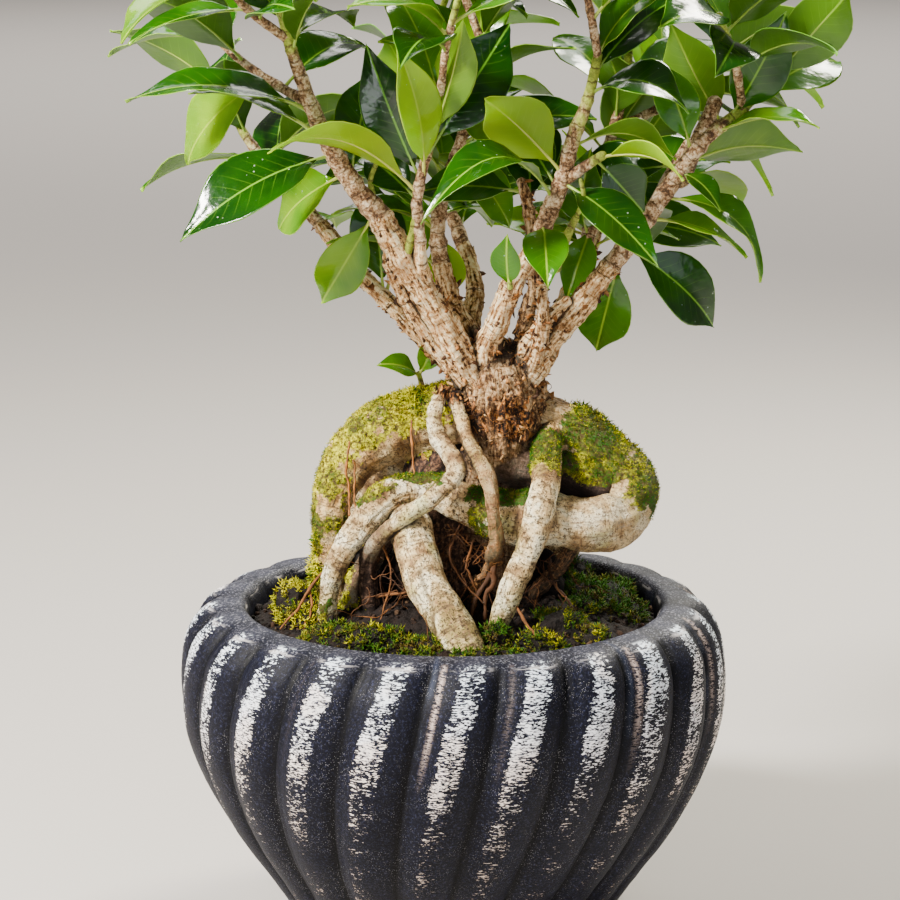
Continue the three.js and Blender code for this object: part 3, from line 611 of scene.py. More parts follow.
def makePot():
    rows = curveAt(np.array(pot["outside"], float), np.linspace(0, 1, pot["outsideRows"]))
    under = [(radius, 0, 0, 0) for radius in pot["under"]]
    profile = np.vstack([under, rows, [(*spot, 0, 0) for spot in pot["inside"]]])
    radius, height, inward, lowered = profile.T[..., None]
    columns = pot["ribs"] * pot["columnsPerRib"]
    column = np.arange(columns)
    across = (column % pot["columnsPerRib"]) / pot["columnsPerRib"]
    depth = pot["ribDepth"] * ribDepthAt(across)
    turn = np.radians(pot["ribStart"] + (height - pot["ribLevel"]) * pot["ribLean"] + column * 360 / columns)
    rings = around(radius - depth * inward, turn, height - depth * lowered)
    flat = rings.reshape(-1, 3)
    uneven = pot["hammered"] * (roughAt(flat, 7, 3) + 0.4 * roughAt(flat, 1.6, 5))
    rings = rings + around(1, turn, 0) * (uneven.reshape(turn.shape) * np.clip(height / 6, 0, 1))[..., None]
    # The band is partly worn glaze and partly a painted highlight: it shifts right near the rim and thins
    # toward its right edge
    varied = drawsFor(9).normal(0, pot["bandVaries"], (2, pot["ribs"])).repeat(pot["columnsPerRib"], axis=1)
    low, high, rise = pot["bandRise"]
    place = across - rise * smoothStep(low, high, height)
    start, end, edge = pot["band"][0] + varied[0], pot["band"][1] + varied[1], pot["bandEdge"]
    band = smoothStep(start - edge, start + edge, place) * smoothStep(end + edge, end - edge, place)
    band *= 1 - pot["bandThins"] * np.clip((place - start) / (end - start), 0, 1)
    upper = smoothStep(*pot["upper"], height) * np.clip(0.15 + 25 * varied[1], 0, 0.8)
    looks = {key: bell(across - pot[key][0], pot[key][1]) * upper for key in ("streak", "litEdge")}
    outside = (np.arange(len(profile)) < len(under) + len(rows))[:, None]
    looks["wall"] = np.where(height > 90, smoothStep(74, 76, radius), smoothStep(2, 9, height)) * outside
    # Painted shade: a dark line in the valley between two ribs, where the wall lies inward
    looks["valley"] = bell(np.minimum(across, 1 - across), pot["valley"]) * smoothStep(0.2, 0.8, inward)
    looks["band"] = band
    tipMark = (0, 0)  # the centres of the foot and of the floor are plain
    marks = {key: np.append(np.broadcast_to(values, turn.shape), tipMark) for key, values in looks.items()}
    pile = newPile()
    addPart(pile, *closed(rings, ((0, 0, 0), (0, 0, pot["floor"]))), **marks)
    makePiece("potBody", pile, potGlaze(), "pot", "pot")


def potGlaze():
    place = newMaterial("slateGlaze", 0.16)
    band, wall, height = marked("band"), marked("wall"), heightOf(place)
    dashes = grain(stretched(place, (520, 520, 2300)), 1, 2, 0.6)
    strokes = grain(stretched(place, (150, 150, 1100)), 1, 2, 0.6)
    specks = grain(stretched(place, (1300, 1300, 2600)), 1, 1)
    blotches = grain(place, 90, 3, 0.6)
    mixed = dashes * 0.55 + strokes * 0.15 + specks * 0.3
    # Worn through where the mix falls under the cover, which thins toward the foot. The bright silver is
    # partly real wear and partly a painted highlight on the rib crests.
    cover = band * within(height, 0.03, 0.086, 0.41, 0.545) + (blotches - 0.5) * 0.34
    wornAndHighlit = within(cover - mixed, -0.012, 0.04) * wall
    lip = blend(within(specks, 0.56, 0.64, 0, 0.7), blend(band, *pot["lip"]), (0.28, 0.28, 0.33))
    slate = blend(within(height, 0.1, 0.1035, 0, 0.6), shades(grain(place, 1250, 4, 0.75), pot["slate"]), lip)
    # Painted shade: the valleys between the ribs are darkened to near black
    slate = blend(marked("valley") * 0.97, slate, (0.0004, 0.0004, 0.001))
    warm = within(grain(place, 45, 2), 0.5, 0.6, 0, 0.5)
    silver = blend(warm, shades(height, pot["silver"]), (0.85, 0.68, 0.55))
    silver = blend(within(mixed, 0.43, 0.57, 0, 0.6), silver, (0.24, 0.25, 0.33))
    streak = marked("streak") * wall * within(mixed, 0.55, 0.47)
    colour = blend(streak * 0.8, slate, (0.78, 0.6, 0.52))
    # Painted highlight: a thin bluish lit line along the left edge of each rib
    colour = blend(marked("litEdge") * within(blotches, 0.4, 0.62, 0, 0.5), colour, (0.05, 0.065, 0.12))
    colour = blend(wornAndHighlit, colour, silver)
    crown = within(height, 0.1016, 0.1023) * within(height, 0.103, 0.1024)
    crown = crown * within(strokes, 0.47, 0.55, 0, 0.75) * band
    colour = blend(crown, colour, (0.62, 0.58, 0.58))
    flecks = within(cells(place, 1900), 0.22, 0.08) * within(blotches, 0.42, 0.62, 0.1, 0.8)
    colour = blend(flecks, colour, (0.5, 0.48, 0.5))
    bumps = raised(grain(place, 1500, 3, 0.65), 0.0003, 0.6)
    bumps = raised(mixed * 0.5 + wornAndHighlit, 0.0003, 0.5, bumps)
    return finishWith(colour, within(wornAndHighlit, 0, 1, 0.56, 0.34), bumps)


# Soil
soil = {
    "inside": [(59.5, 28.5, 0), (71.9, 75, 0), (63.7, 96, 0)],  # radius, height, roughness
    "surface": [(63.3, 97.3, 0.3), (54, 99.5, 1), (38, 102.5, 1), (19, 105.5, 1), (0.5, 107, 1)],
    "ends": (14, 107),  # heights of its lowest and its highest point
    "rings": 58,
    "columns": 196,
    "bump": 0.8,
    "lumps": 2.3,
    "crumbs": 2600,
    "crumbSizes": (0.5, 2.8),
    "crumbReach": 63.4,
    "dark": [(0.34, 0.002, 0.0013, 0.001), (0.54, 0.009, 0.0048, 0.003), (0.7, 0.04, 0.019, 0.01)],
    "varied": [(0, 0.004, 0.0025, 0.002), (0.6, 0.012, 0.0065, 0.0045), (0.88, 0.06, 0.028, 0.013),
        (1, 0.24, 0.14, 0.075)],
}


def soilHeight(points):
    bump = soil["bump"] * np.sin(points[:, 0] * 0.31 + 1) * np.cos(points[:, 1] * 0.27 - 0.6)
    flat = points * (1, 1, 0)
    lumps = soil["lumps"] * np.abs(roughAt(flat, 5.5, 2)) + 0.5 * roughAt(flat, 1.5, 9)
    return bump + lumps - 0.6


def soilLevel(radius):
    surface = np.array(soil["surface"][::-1], float)
    return np.interp(radius, surface[:, 0], surface[:, 1])


def makeSoil():
    surface = np.array(soil["surface"], float)
    shares = np.linspace(0, 1, soil["rings"])
    places = np.linspace(0, 1, len(surface))
    top = np.stack([np.interp(shares, places, surface[:, k]) for k in range(3)], axis=1)
    profile = np.vstack([soil["inside"], top])
    rings = around(profile[:, :1], turnsOf(soil["columns"]), profile[:, 1:2])
    lift = soilHeight(rings.reshape(-1, 3)).reshape(rings.shape[:2])
    rings[..., 2] += lift * profile[:, 2:]
    pile = newPile()
    addPart(pile, *closed(rings, [(0, 0, height) for height in soil["ends"]]), tone=0.4)
    makePiece("soilMound", pile, pottingSoil("pottingSoil"), "soil", "soil")


def pebble():
    work = bmesh.new()
    bmesh.ops.create_icosphere(work, subdivisions=1, radius=0.5)
    points = np.array([v.co for v in work.verts])
    faces = np.array([[v.index for v in f.verts] for f in work.faces])
    work.free()
    return points, faces


def makeCrumbs():
    draws, count, kinds = drawsFor(31), soil["crumbs"], 4
    radius = soil["crumbReach"] * np.sqrt(draws.random(count))
    spots = around(radius, draws.random(count) * fullTurn, 0.0)
    spots[:, 2] = soilLevel(radius) + soilHeight(spots) + 0.1
    low, high = soil["crumbSizes"]
    sizes = (low + (high - low) * draws.random(count) ** 3)[:, None] * draws.uniform(0.55, 1.25, (count, 3))
    ups = np.tile((0.0, 0.0, 1.0), (count, 1))
    pile = newPile()
    points, faces = pebble()
    for kind in range(kinds):
        some = slice(kind, None, kinds)
        knobbly = points * (1 + 0.45 * noiseAt(points * 10, 5, kind))[:, None]
        tone = draws.random(len(spots[some]))
        addCopies(pile, (knobbly, faces), spots[some], ups[some], sizes[some], draws, 0.8, tone=tone)
    makePiece("soilCrumbs", pile, pottingSoil("crumbSoil"), "soil")


def pottingSoil(name):
    place = newMaterial(name, 0.25)
    dark = shades(grain(place, 260, 4, 0.65), soil["dark"])
    colour = blend(0.55, dark, shades(marked("tone"), soil["varied"]))
    bumps = raised(grain(place, 1300, 4, 0.7), 0.0006, 0.8)
    bumps = raised(grain(place, 430, 3, 0.6), 0.0022, 0.9, bumps)
    return finishWith(colour, 0.9, bumps)


# Wood: trunk, storage roots, aerial roots and branches
limbFinish = {  # shares of bark, rust and pale skin at the start, middle and end. The rest is dark brown.
    "core": ((0.8, 0.45, 0), (0.35, 0.3, 0.1), (0, 0.2, 0)),
    "leftShoulder": ((0.1, 0.2, 0.7), (0.05, 0, 0.95), (0.2, 0, 0.8)),
    "rightLobe": ((0.55, 0.1, 0.7), (0, 0, 1), (0, 0, 1)),
    "lobeHeart": ((0, 0, 0.1), (0, 0, 0), (0, 0, 0)),
    "frontLeg": ((0, 0, 1), (0, 0, 1), (0, 0, 1)),
    "rightLeg": ((0, 0, 1), (0, 0, 1), (0, 0, 1)),
    "elbowRoot": ((0, 0.1, 0.9), (0, 0, 1), (0, 0.1, -1.2)),
    "hangingRoot": ((0, 0, 0.95), (0.1, 0.5, 0.6), (0.3, 1, 0)),
    "rightBackRoot": ((0.1, 0.5, 0.05), (0.1, 0.5, 0.05), (0.1, 0.3, 0.05)),
    "leftInnerRoot": ((0, 0.15, 0.05), (0, 0.1, 0.1), (0, 0, 0.5)),
    "innerMass": ((0, 0.25, 0), (0, 0.2, 0), (0, 0.2, 0)),
    "backTuber": ((0, 0, 0.8), (0, 0, 0.9), (0, 0, 0.8)),
    "backLeftTuber": ((0, 0, 0.75), (0, 0, 0.9), (0, 0, 0.75)),
    "backRightTuber": ((0, 0, 0.75), (0, 0, 0.9), (0, 0, 0.75)),
    "deadBranch": ((1, 0.7, 0), (1, 0.5, 0), (1, 0.4, 0)),
    "frontStub": ((1, 0.35, 0), (1, 0.3, 0), (1, 0.2, 0)),
}
barkOnly = ((1, 0.15, 0), (1, 0, 0), (1, 0, 0))
wood = {
    "voxel": 0.95,
    "grownTogether": ("core", "leftShoulder", "lobeHeart", "innerMass", "backTuber", "backLeftTuber",
        "backRightTuber"),
    "roots": ("rightLobe", "frontLeg", "rightLeg", "elbowRoot", "hangingRoot", "rightBackRoot",
        "leftInnerRoot"),
    "step": 0.85,  # between the rings of a limb, and round them
    "sides": (18, 72),
    "union": ((15, -4, 165), (17, 17, 12)),  # centre and half size of the rusty union of trunk and branches
    "tanned": {"leftShoulder": 0.8, "core": 0.7, "backTuber": 0.3, "hangingRoot": 0.7},
    "tanTop": ((40, 30), (20, 24), (146, 154), 0.9),  # a tanned patch on the lobe: x, x, z and share
    "lessShade": {"leftShoulder": 0.75, "rightLobe": 0.6, "frontLeg": 0.2},  # how much less painted shade falls there
    "dent": ((53, -2, 159), 13, (0.75, 0, 0.66), 3.4),  # centre, reach, the way it faces, depth
    "crease": ("frontLeg", (91, 104, 113, 124), (-5, -6, -6.3, -11)),  # heights and where across it lies there
    "sprung": ("elbowRoot", "hangingRoot"),  # thin roots that start on the trunk, under its fibres
    "scarSpacing": 6.5,  # between the rings that old leaves left
    "hollowReaches": ((1.2, 0.25), (3, 0.3), (7, 0.25), (15, 0.2)),  # distance looked at and its share
    "marks": ("bark", "rust", "pale", "moss", "mossTone", "hollowShade", "tan", "crease"),
    # Colours as stops of place, red, green and blue
    "skin": [(0.36, 0.26, 0.14, 0.055), (0.45, 0.57, 0.38, 0.165), (0.53, 0.92, 0.71, 0.38),
        (0.6, 1, 0.9, 0.61)],
    "plates": [(0.39, 0.018, 0.007, 0.003), (0.44, 0.25, 0.115, 0.045), (0.5, 0.8, 0.48, 0.2),
        (0.57, 1, 0.83, 0.53)],
    "rusty": [(0.45, 0.003, 0.0015, 0.0008), (0.5, 0.05, 0.017, 0.004), (0.56, 0.32, 0.105, 0.016),
        (0.64, 0.88, 0.44, 0.11)],
    "brown": [(0.36, 0.01, 0.006, 0.005), (0.5, 0.055, 0.03, 0.02), (0.64, 0.22, 0.14, 0.1)],
}
mossBeds = [  # where moss grows on the wood: centre, half size, direction it likes, share, tone
    ((-22, 2, 162), (30, 24, 15), (-0.45, -0.3, 0.85), 1.0, 0.97),
    ((-35, 0, 145), (13, 18, 13), (-0.8, -0.4, 0.45), 0.85, 0.88),
    ((-43, -2, 118), (7, 18, 26), (-1, 0.1, 0.1), 0.75, 0.6),
    ((-36, -8, 128), (10, 12, 20), (-0.4, -0.9, 0), 0.42, 0.6),
    ((-8, -2, 171), (10, 14, 6), (-0.2, -0.3, 0.9), 1.1, 0.7),
    ((45, 0, 156), (16.5, 22, 15), (0.35, -0.4, 0.85), 1.3, 0.48),
    ((56, -2, 142), (12, 22, 16), (0.95, -0.3, 0.3), 1.3, 0.45),
    ((46, -10, 148), (14, 10, 8), (0.1, -0.9, 0.5), 1.3, 0.56),
    ((29, -15, 152), (7, 12.5, 11), (-0.3, -0.7, 0.6), 1.3, 0.46),
    ((14, -21, 142), (13, 9, 4), (0, -0.4, 1), 1.15, 0.12),
    ((-10, -13, 147), (15, 9, 5), (0, 0.1, 1), 1.15, 0.2),
    ((-24, -17, 142), (12, 8, 6), (-0.5, 0.2, 1), 0.7, 0.5),
    ((-4, -25, 147), (8, 6, 4), (0.2, 0.4, 1), 0.6, 0.4),
    ((4, 30, 150), (40, 22, 18), (0, 0.35, 0.9), 0.95, 0.7),
    ((-37, -14, 103), (12, 12, 8), (-0.6, -0.4, 0.3), 0.5, 0.55),
    ((9, -25, 135), (6, 6, 9), (-0.5, -0.7, 0.4), 0.75, 0.35),
]


def limbRows():
    # Every limb sampled along its course: centre, radius, three directions, run, share, limb
    rows = []
    for number, limb in enumerate(limbs.values()):
        share, run, line, radius = sampled(limb, 2)
        numbers = np.full(len(share), number)
        rows.append(np.column_stack([line, radius, *crossDirections(line), run, share, numbers]))
    return np.vstack(rows)


def nearestRow(points, rows, atOnce=20000):
    nearest, far = np.zeros(len(points), int), np.zeros(len(points))
    centres, radii = rows[:, :3], rows[:, 3]
    for start in range(0, len(points), atOnce):
        some = slice(start, start + atOnce)
        square = (points[some] ** 2).sum(axis=1)[:, None] + (centres**2).sum(axis=1)
        square -= 2 * points[some] @ centres.T
        distance = np.sqrt(np.maximum(square, 0)) - radii
        nearest[some], far[some] = distance.argmin(axis=1), distance.min(axis=1)
    return nearest, far


def hollowAt(points, normals, rows):
    # How deep a point lies among the roots: 0 in the open, 1 in a crack
    total = np.zeros(len(points))
    for reach, share in wood["hollowReaches"]:
        probe = points + normals * reach
        ground = probe[:, 2] - soilLevel(np.hypot(probe[:, 0], probe[:, 1]))
        clear = np.clip(np.minimum(nearestRow(probe, rows)[1], ground) / reach, 0, 1)
        total += share * (1 - clear)
    return total


def limbTube(name, number, draws):
    share, run, line, radius = sampled(limbs[name], wood["step"])
    widest = max(point[3] for point in limbs[name])
    sides = int(np.clip(fullTurn * widest / wood["step"], *wood["sides"]))
    swell = 0.11 * roughRound(run, 6, sides, 11, number, 2)
    knots = 0.09 * bell((run + draws.uniform(0, 6)) % wood["scarSpacing"] - 3, 0.8)
    bark = name not in wood["grownTogether"] + wood["roots"]
    return tubeOf(line, radius[:, None] * (1 + swell + knots[:, None] * bark), sides)[:2]


def tubePile(names, draws):
    pile = newPile()
    for number, name in enumerate(limbs):
        if name in names:
            addPart(pile, *limbTube(name, number, draws), limb=number)
    return pile


def dressWood(name, mesh, rows, owners):
    points, normals = pointsOf(mesh), normalsOf(mesh)
    look = woodLook(points, normals, rows, owners)
    movePoints(mesh, points + normals * woodRelief(points, normals, look)[:, None])
    for label in wood["marks"]:
        mark(mesh, label, look[label])
    flow = mesh.attributes.new("flow", "FLOAT_VECTOR", "POINT")
    flow.data.foreach_set("vector", look["flow"].astype(np.float32).ravel())
    makePiece(name, mesh, bpy.data.materials.get("woodSkin") or woodSkin(), "bark", "tree_wood")
    return mesh, look


def makeWood():
    draws, rows, names = drawsFor(12), limbRows(), list(limbs)
    rough = bpy.data.objects.new("woodRough", meshOf("woodRough", tubePile(wood["grownTogether"], draws)))
    bpy.context.scene.collection.objects.link(rough)
    remesh = rough.modifiers.new("oneSkin", "REMESH")
    remesh.mode = "VOXEL"
    remesh.voxel_size = wood["voxel"] * mm
    mesh = bpy.data.meshes.new_from_object(rough.evaluated_get(bpy.context.evaluated_depsgraph_get()))
    bpy.data.objects.remove(rough)
    grown = np.array([names.index(name) for name in wood["grownTogether"]])
    dressed = [dressWood("treeTrunk", mesh, rows, grown)]
    branches = [name for name in names if name not in wood["grownTogether"] + wood["roots"]]
    for piece, some in (("treeRoots", wood["roots"]), ("treeBranches", branches)):
        pile = tubePile(some, draws)
        owners = np.concatenate(pile["marks"].pop("limb")).astype(int)
        dressed.append(dressWood(piece, meshOf(piece, pile), rows, owners))
    return dressed


def ownRows(points, rows, owners):
    # The nearest row of a point's own limb, or of a set of limbs that grew together
    nearest = np.zeros(len(points), int)
    limb = rows[:, 15].astype(int)
    if len(owners) != len(points):
        kept = np.flatnonzero(np.isin(limb, owners))
        return kept[nearestRow(points, rows[kept])[0]]
    for number in np.unique(owners):
        some, kept = np.flatnonzero(owners == number), np.flatnonzero(limb == number)
        nearest[some] = kept[nearestRow(points[some], rows[kept])[0]]
    return nearest


def woodLook(points, normals, rows, owners):
    found = rows[ownRows(points, rows, owners)]
    names, limb, x, z = list(limbs), found[:, 15].astype(int), points[:, 0], points[:, 2]

    def ofLimb(table, usual=0):
        return np.array([table.get(name, usual) for name in names])[limb]

    stops, share = ofLimb(limbFinish, barkOnly), found[:, 14] * 2
    first, last = np.clip(1 - share, 0, 1)[:, None], np.clip(share - 1, 0, 1)[:, None]
    finish = np.clip(stops[:, 0] * first + stops[:, 1] * (1 - first - last) + stops[:, 2] * last, 0, 1)
    look = {"bark": finish[:, 0], "rust": finish[:, 1], "pale": finish[:, 2], "radius": found[:, 3]}
    across = [((points - found[:, :3]) * found[:, k:k + 3]).sum(axis=1) for k in (4, 7, 10)]
    look["flow"] = np.stack([found[:, 13] + across[0] + found[:, 15] * 31, across[1], across[2]], axis=1)
    centre, half = (np.array(v, float) for v in wood["union"])
    distance = np.linalg.norm((points - centre) / half, axis=1) + 0.3 * roughAt(points, 7, 11)
    union = (1 - smoothStep(0.6, 1.2, distance)) * np.where(look["pale"] > 0.6, 0.3, 1)
    starts = np.isin(limb, [names.index(name) for name in wood["sprung"]])
    starts = starts * smoothStep(4.5, 1.5, found[:, 13] + 1.5 * roughAt(points, 1.8, 51))
    look["rust"] = np.maximum.reduce([look["rust"], union, starts])
    look["pale"] = look["pale"] * (1 - starts)
    # Painted shade: darker the deeper a point lies among the roots, less on the limbs listed
    look["hollowShade"] = hollowAt(points, normals, rows) * (1 - ofLimb(wood["lessShade"]))
    right, left, rise, amount = wood["tanTop"]
    top = amount * smoothStep(*right, x) * smoothStep(*left, x) * smoothStep(*rise, z)
    look["tan"] = np.maximum(ofLimb(wood["tanned"]), top)
    owner, heights, places = wood["crease"]
    away = np.abs(x - np.interp(z, heights, places) - 0.5 * noiseAt(points, 3, 47))
    look["crease"] = smoothStep(0.9, 0.2, away) * (limb == names.index(owner)) * (z < heights[-1] - 1)
    moss, tone = np.zeros(len(points)), np.zeros(len(points))
    for spot, size, liking, amount, shade in mossBeds:
        inside = 1 - smoothStep(0.6, 1.05, np.linalg.norm((points - spot) / size, axis=1))
        patch = inside * smoothStep(-0.1, 0.55, normals @ unit(liking)) * amount
        tone = np.where(patch > moss, shade, tone)
        moss = np.maximum(moss, patch)
    edge = 0.75 * (0.5 * roughAt(points, 6, 21) + 0.6 * roughAt(points, 2, 23)) * (moss > 0.02)
    look["moss"] = smoothStep(0.3, 0.7, moss + edge) * (look["bark"] < 0.6)
    look["mossTone"] = np.clip(tone + 0.5 * roughAt(points, 7, 27), 0, 1)
    return look


def woodRelief(points, normals, look):
    flow, bark, rust, pale = (look[key] for key in ("flow", "bark", "rust", "pale"))
    plates = np.abs(roughAt(flow * (0.22, 1, 1), 2.4, 31)) - 0.3
    chunks = np.abs(roughAt(flow * (0.5, 1, 1), 4.5, 32)) - 0.25
    rings = bell((flow[:, 0] + 1.2 * noiseAt(flow, 4, 45)) % wood["scarSpacing"] - 3, 0.5)
    fibres = roughAt(flow * (0.22, 1, 1), 1.5, 33)
    patches = smoothStep(-0.1, 0.5, noiseAt(points, 6, 34))
    bulges, pores = roughAt(points, 12, 35, 2), roughAt(points, 1.9, 37, 2)
    wrinkle = np.abs(roughAt(flow * (1, 0.3, 0.3), 2.6, 39, 2))
    groove = bell(noiseAt(flow * (0.05, 1, 1), 5, 43), 0.09)
    ridge = bell(noiseAt(flow * (0.09, 1, 1), 4.2, 49), 0.16)
    thick = np.clip(look["radius"] / 4, 0.4, 1)
    flaky = patches * (0.7 * plates + 0.3 * pores)
    relief = bark * (0.6 * plates + 0.2 * fibres + 0.35 * rings + flaky) * thick
    relief += rust * (0.9 * fibres + 0.7 * plates + 1.4 * chunks + 0.3 * pores - 1.5 * ridge * (1 - pale))
    relief += pale * (0.5 * bulges + 0.16 * pores - 0.2 * wrinkle - 0.32 * groove * thick)
    relief += (1 - np.maximum.reduce([bark, rust, pale])) * (0.5 * fibres + 0.3 * pores)
    spot, reach, way, depth = wood["dent"]
    near = bell(np.linalg.norm(points - spot, axis=1), reach)
    relief -= 0.4 * look["crease"] + depth * near * smoothStep(0, 0.7, normals @ unit(way))
    return relief + look["moss"] * (0.45 + 0.4 * roughAt(points, 2.2, 41))


def woodSkin():
    place = newMaterial("woodSkin", 0.3)
    bark, rust, pale, mossy, mossTone, hollowShade, tan, crease = (marked(label) for label in wood["marks"])
    flow = marked("flow", "Vector")
    cloud, fine, tiny = grain(place, 130, 4, 0.6), grain(place, 900, 4, 0.65), grain(place, 2300, 3, 0.7)
    lengthwise = grain(stretched(flow, (0.16, 1.1, 1.1)), 1, 4, 0.65)
    crosswise = grain(stretched(flow, (0.95, 0.13, 0.13)), 1, 3, 0.6)
    # Pale skin: cream to grey with dark specks, cracks across, stains and a green bloom
    low = within(heightOf(place), 0.126, 0.1, 0, 0.65) * within(fine, 0.35, 0.6)
    bloom = maths("MAXIMUM", within(grain(place, 85), 0.52, 0.7, 0, 0.55), low)
    skin = blend(bloom, shades(cloud, wood["skin"]), (0.42, 0.42, 0.1))
    skin = blend(tan, skin, (0.98, 0.78, 0.5), "MULTIPLY")
    skin = blend(within(lengthwise, 0.52, 0.66, 0, 0.75), skin, (0.27, 0.16, 0.075))
    cracks = within(crosswise, 0.545, 0.61) * within(cloud, 0.62, 0.42, 0.2, 1)
    skin = blend(cracks * 0.75, skin, (0.12, 0.07, 0.035))
    specks = within(fine, 0.5, 0.55) * within(tiny, 0.43, 0.5)
    skin = blend(specks * 0.95, skin, (0.06, 0.032, 0.015))
    dots = within(cells(place, 560), 0.25, 0.14) * within(cloud, 0.62, 0.45, 0.3, 0.95)
    skin = blend(dots, skin, (0.07, 0.04, 0.022))
    skin = blend(crease * 0.8, skin, (0.1, 0.06, 0.025))
    # Bark: light tan plates over dark cracks, redder in places, with leaf scars round it
    plates = shades(lengthwise * 0.6 + fine * 0.4, wood["plates"])
    plates = blend(within(grain(place, 160), 0.5, 0.66, 0, 0.55), plates, (0.26, 0.1, 0.024))
    plates = blend(within(crosswise, 0.6, 0.66) * 0.8, plates, (0.05, 0.022, 0.01))
    # Rusty union: torn fibres from near black to orange. Plain wood is brown.
    torn = lengthwise * 0.45 + fine * 0.55
    colour = blend(pale, shades(torn, wood["brown"]), skin)
    colour = blend(bark, colour, plates)
    colour = blend(rust, colour, shades(torn, wood["rusty"]))
    # Painted shade: near black deep in the hollows among the roots
    colour = blend(within(hollowShade, 0.32, 0.8, 0, 0.93), colour, (0.014, 0.008, 0.006))
    greens = shades((grain(place, 420) - 0.5) * 1.6 + mossTone, moss["bedColours"])
    greens = blend(within(fine, 0.4, 0.58, 0, 0.9), (0.07, 0.045, 0.008), greens)
    colour = blend(within((fine - 0.5) * 1.6 + mossy, 0.3, 0.62), colour, greens)
    bumps = raised(fine + tiny, 0.0006, 0.8)
    bumps = raised(lengthwise - cracks, 0.0007, 0.6, bumps)
    return finishWith(colour, within(pale, 0, 1, 0.92, 0.66), bumps)


# Leaves. The first ones are listed, the rest of the crown follows by rule.
foliage = {
    "petioleShare": 0.14,
    "petioleRadius": 0.7,
    "fold": 0.2,
    "length": (36, 54),
    "slimness": 0.43,
    "leafClear": 4.3,
    "kinClear": 2.58,
    "woodClear": 2.4,
    "tries": 14,
    "reach": 40,
    "footShare": 0.35,
    "goldenTurn": 2.4,
    "turnVaries": 0.5,
    "turnAgain": 0.7,
    "shorterAgain": 0.025,
    "spread": (1.35, 0.55),
    "spreadVaries": 0.15,
    "faceForward": 0.2,
    "droop": (0.05, 0.3),
    "arch": (0.08, 0.18),
    "crownRadius": 110,
    "sampleSpacing": 4,
    "thickness": 0.42,
    "rows": 16,
    "columns": 11,
    "stemSides": 12,
    "tipShifts": {("leftShoot", 1): (0, 4, 0)},  # this leaf is drawn clear of the one before it
    # Colours as stops of place, red, green and blue
    "top": [(0, 0.0015, 0.024, 0.0008), (0.3, 0.009, 0.075, 0.0005), (0.6, 0.06, 0.23, 0), (1, 0.36, 0.56, 0)],
    "under": [(0, 0.02, 0.07, 0.001), (0.4, 0.07, 0.18, 0), (0.7, 0.2, 0.35, 0), (1, 0.42, 0.58, 0)],
    "stalk": [(0, 0.2, 0.34, 0.03), (0.6, 0.42, 0.52, 0.06), (1, 0.62, 0.64, 0.1)],
    "oldShoot": [(0.4, 0.05, 0.022, 0.009), (0.47, 0.24, 0.12, 0.05), (0.53, 0.52, 0.34, 0.18),
        (0.62, 0.84, 0.68, 0.46)],
    "youngShoot": [(0.4, 0.13, 0.17, 0.015), (0.6, 0.44, 0.5, 0.06)],
}
drawState = {"seed": 20}


def draw(low=0.0, high=1.0):
    drawState["seed"] = (drawState["seed"] * 1664525 + 1013904223) % 2**32
    return low + (high - low) * drawState["seed"] / 2**32


def leafCourse(leaf):
    start, end = np.array(leaf[0], float), np.array(leaf[1], float)
    side = unit(np.cross(leaf[3], end - start))
    middle = (start + end) / 2 + 2 * leaf[4] * np.cross(end - start, side)
    return start, middle, end, side


def leafLine(course, share):
    start, middle, end, side = course
    s = np.asarray(share, float)[..., None]
    return (1 - s) ** 2 * start + 2 * s * (1 - s) * middle + s * s * end


def leafUp(course, share):
    start, middle, end, side = course
    s = np.asarray(share, float)[..., None]
    return np.cross(unit((1 - s) * (middle - start) + s * (end - middle)), side)


def leafHalfWidth(share, width):
    foot = foliage["petioleShare"]
    blade = np.maximum(0, (np.asarray(share, float) - foot) / (1 - foot))
    oval = width / 2 * np.abs(np.sin(math.pi * blade**0.82)) ** 0.85
    return np.maximum(oval, foliage["petioleRadius"])


def sampleLeaf(leaf):
    course = leafCourse(leaf)
    share = np.repeat(np.arange(2, 11) / 10, 5)
    across = np.tile([-0.9, -0.45, 0, 0.45, 0.9], 9)
    half = np.where(share == 1, 0, leafHalfWidth(share, leaf[2]))
    points = leafLine(course, share) + course[3] * (across * half)[:, None]
    points += leafUp(course, share) * (np.abs(across) * half * foliage["fold"])[:, None]
    return {"share": share, "points": points, "centre": leafLine(course, 0.6)}


def sampleLimb(points):
    course = courseOf(points)
    share = np.linspace(0, 1, math.ceil(course["length"] / foliage["sampleSpacing"]) + 1)
    return np.column_stack([pointOn(course, share), radiusOn(course, share)])


def stemsOf(spray):
    return [spray["stem"], *spray.get("shoots", [])]


def woodSamples():
    bark = np.vstack([sampleLimb(points) for points in limbs.values()])
    stems = {name: np.vstack([sampleLimb(line) for line in stemsOf(spray)]) for name, spray in sprays.items()}
    return bark, stems


def farApart(points, others):
    return np.linalg.norm(points[:, None] - others[None], axis=2)


def nearBark(points, bark):
    return bool(len(bark) and (farApart(points, bark[:, :3]) < bark[:, 3] + foliage["woodClear"]).any())


def isClear(leaf, owner, bark, stems, placed):
    new = sampleLeaf(leaf)
    close = bark[np.linalg.norm(bark[:, :3] - new["centre"], axis=1) < foliage["reach"]]
    if nearBark(new["points"], close):
        return False
    outer = new["share"] > foliage["footShare"]
    if any(nearBark(new["points"][outer] if name == owner else new["points"], stem)
           for name, stem in stems.items()):
        return False
    for other in placed:
        if np.linalg.norm(other["centre"] - new["centre"]) > 2 * foliage["reach"]:
            continue
        kin = other["owner"] == owner
        start = foliage["footShare"] if kin else 0
        mine, theirs = new["points"][new["share"] >= start], other["points"][other["share"] >= start]
        if (farApart(mine, theirs) <= foliage["kinClear" if kin else "leafClear"]).any():
            return False
    return True


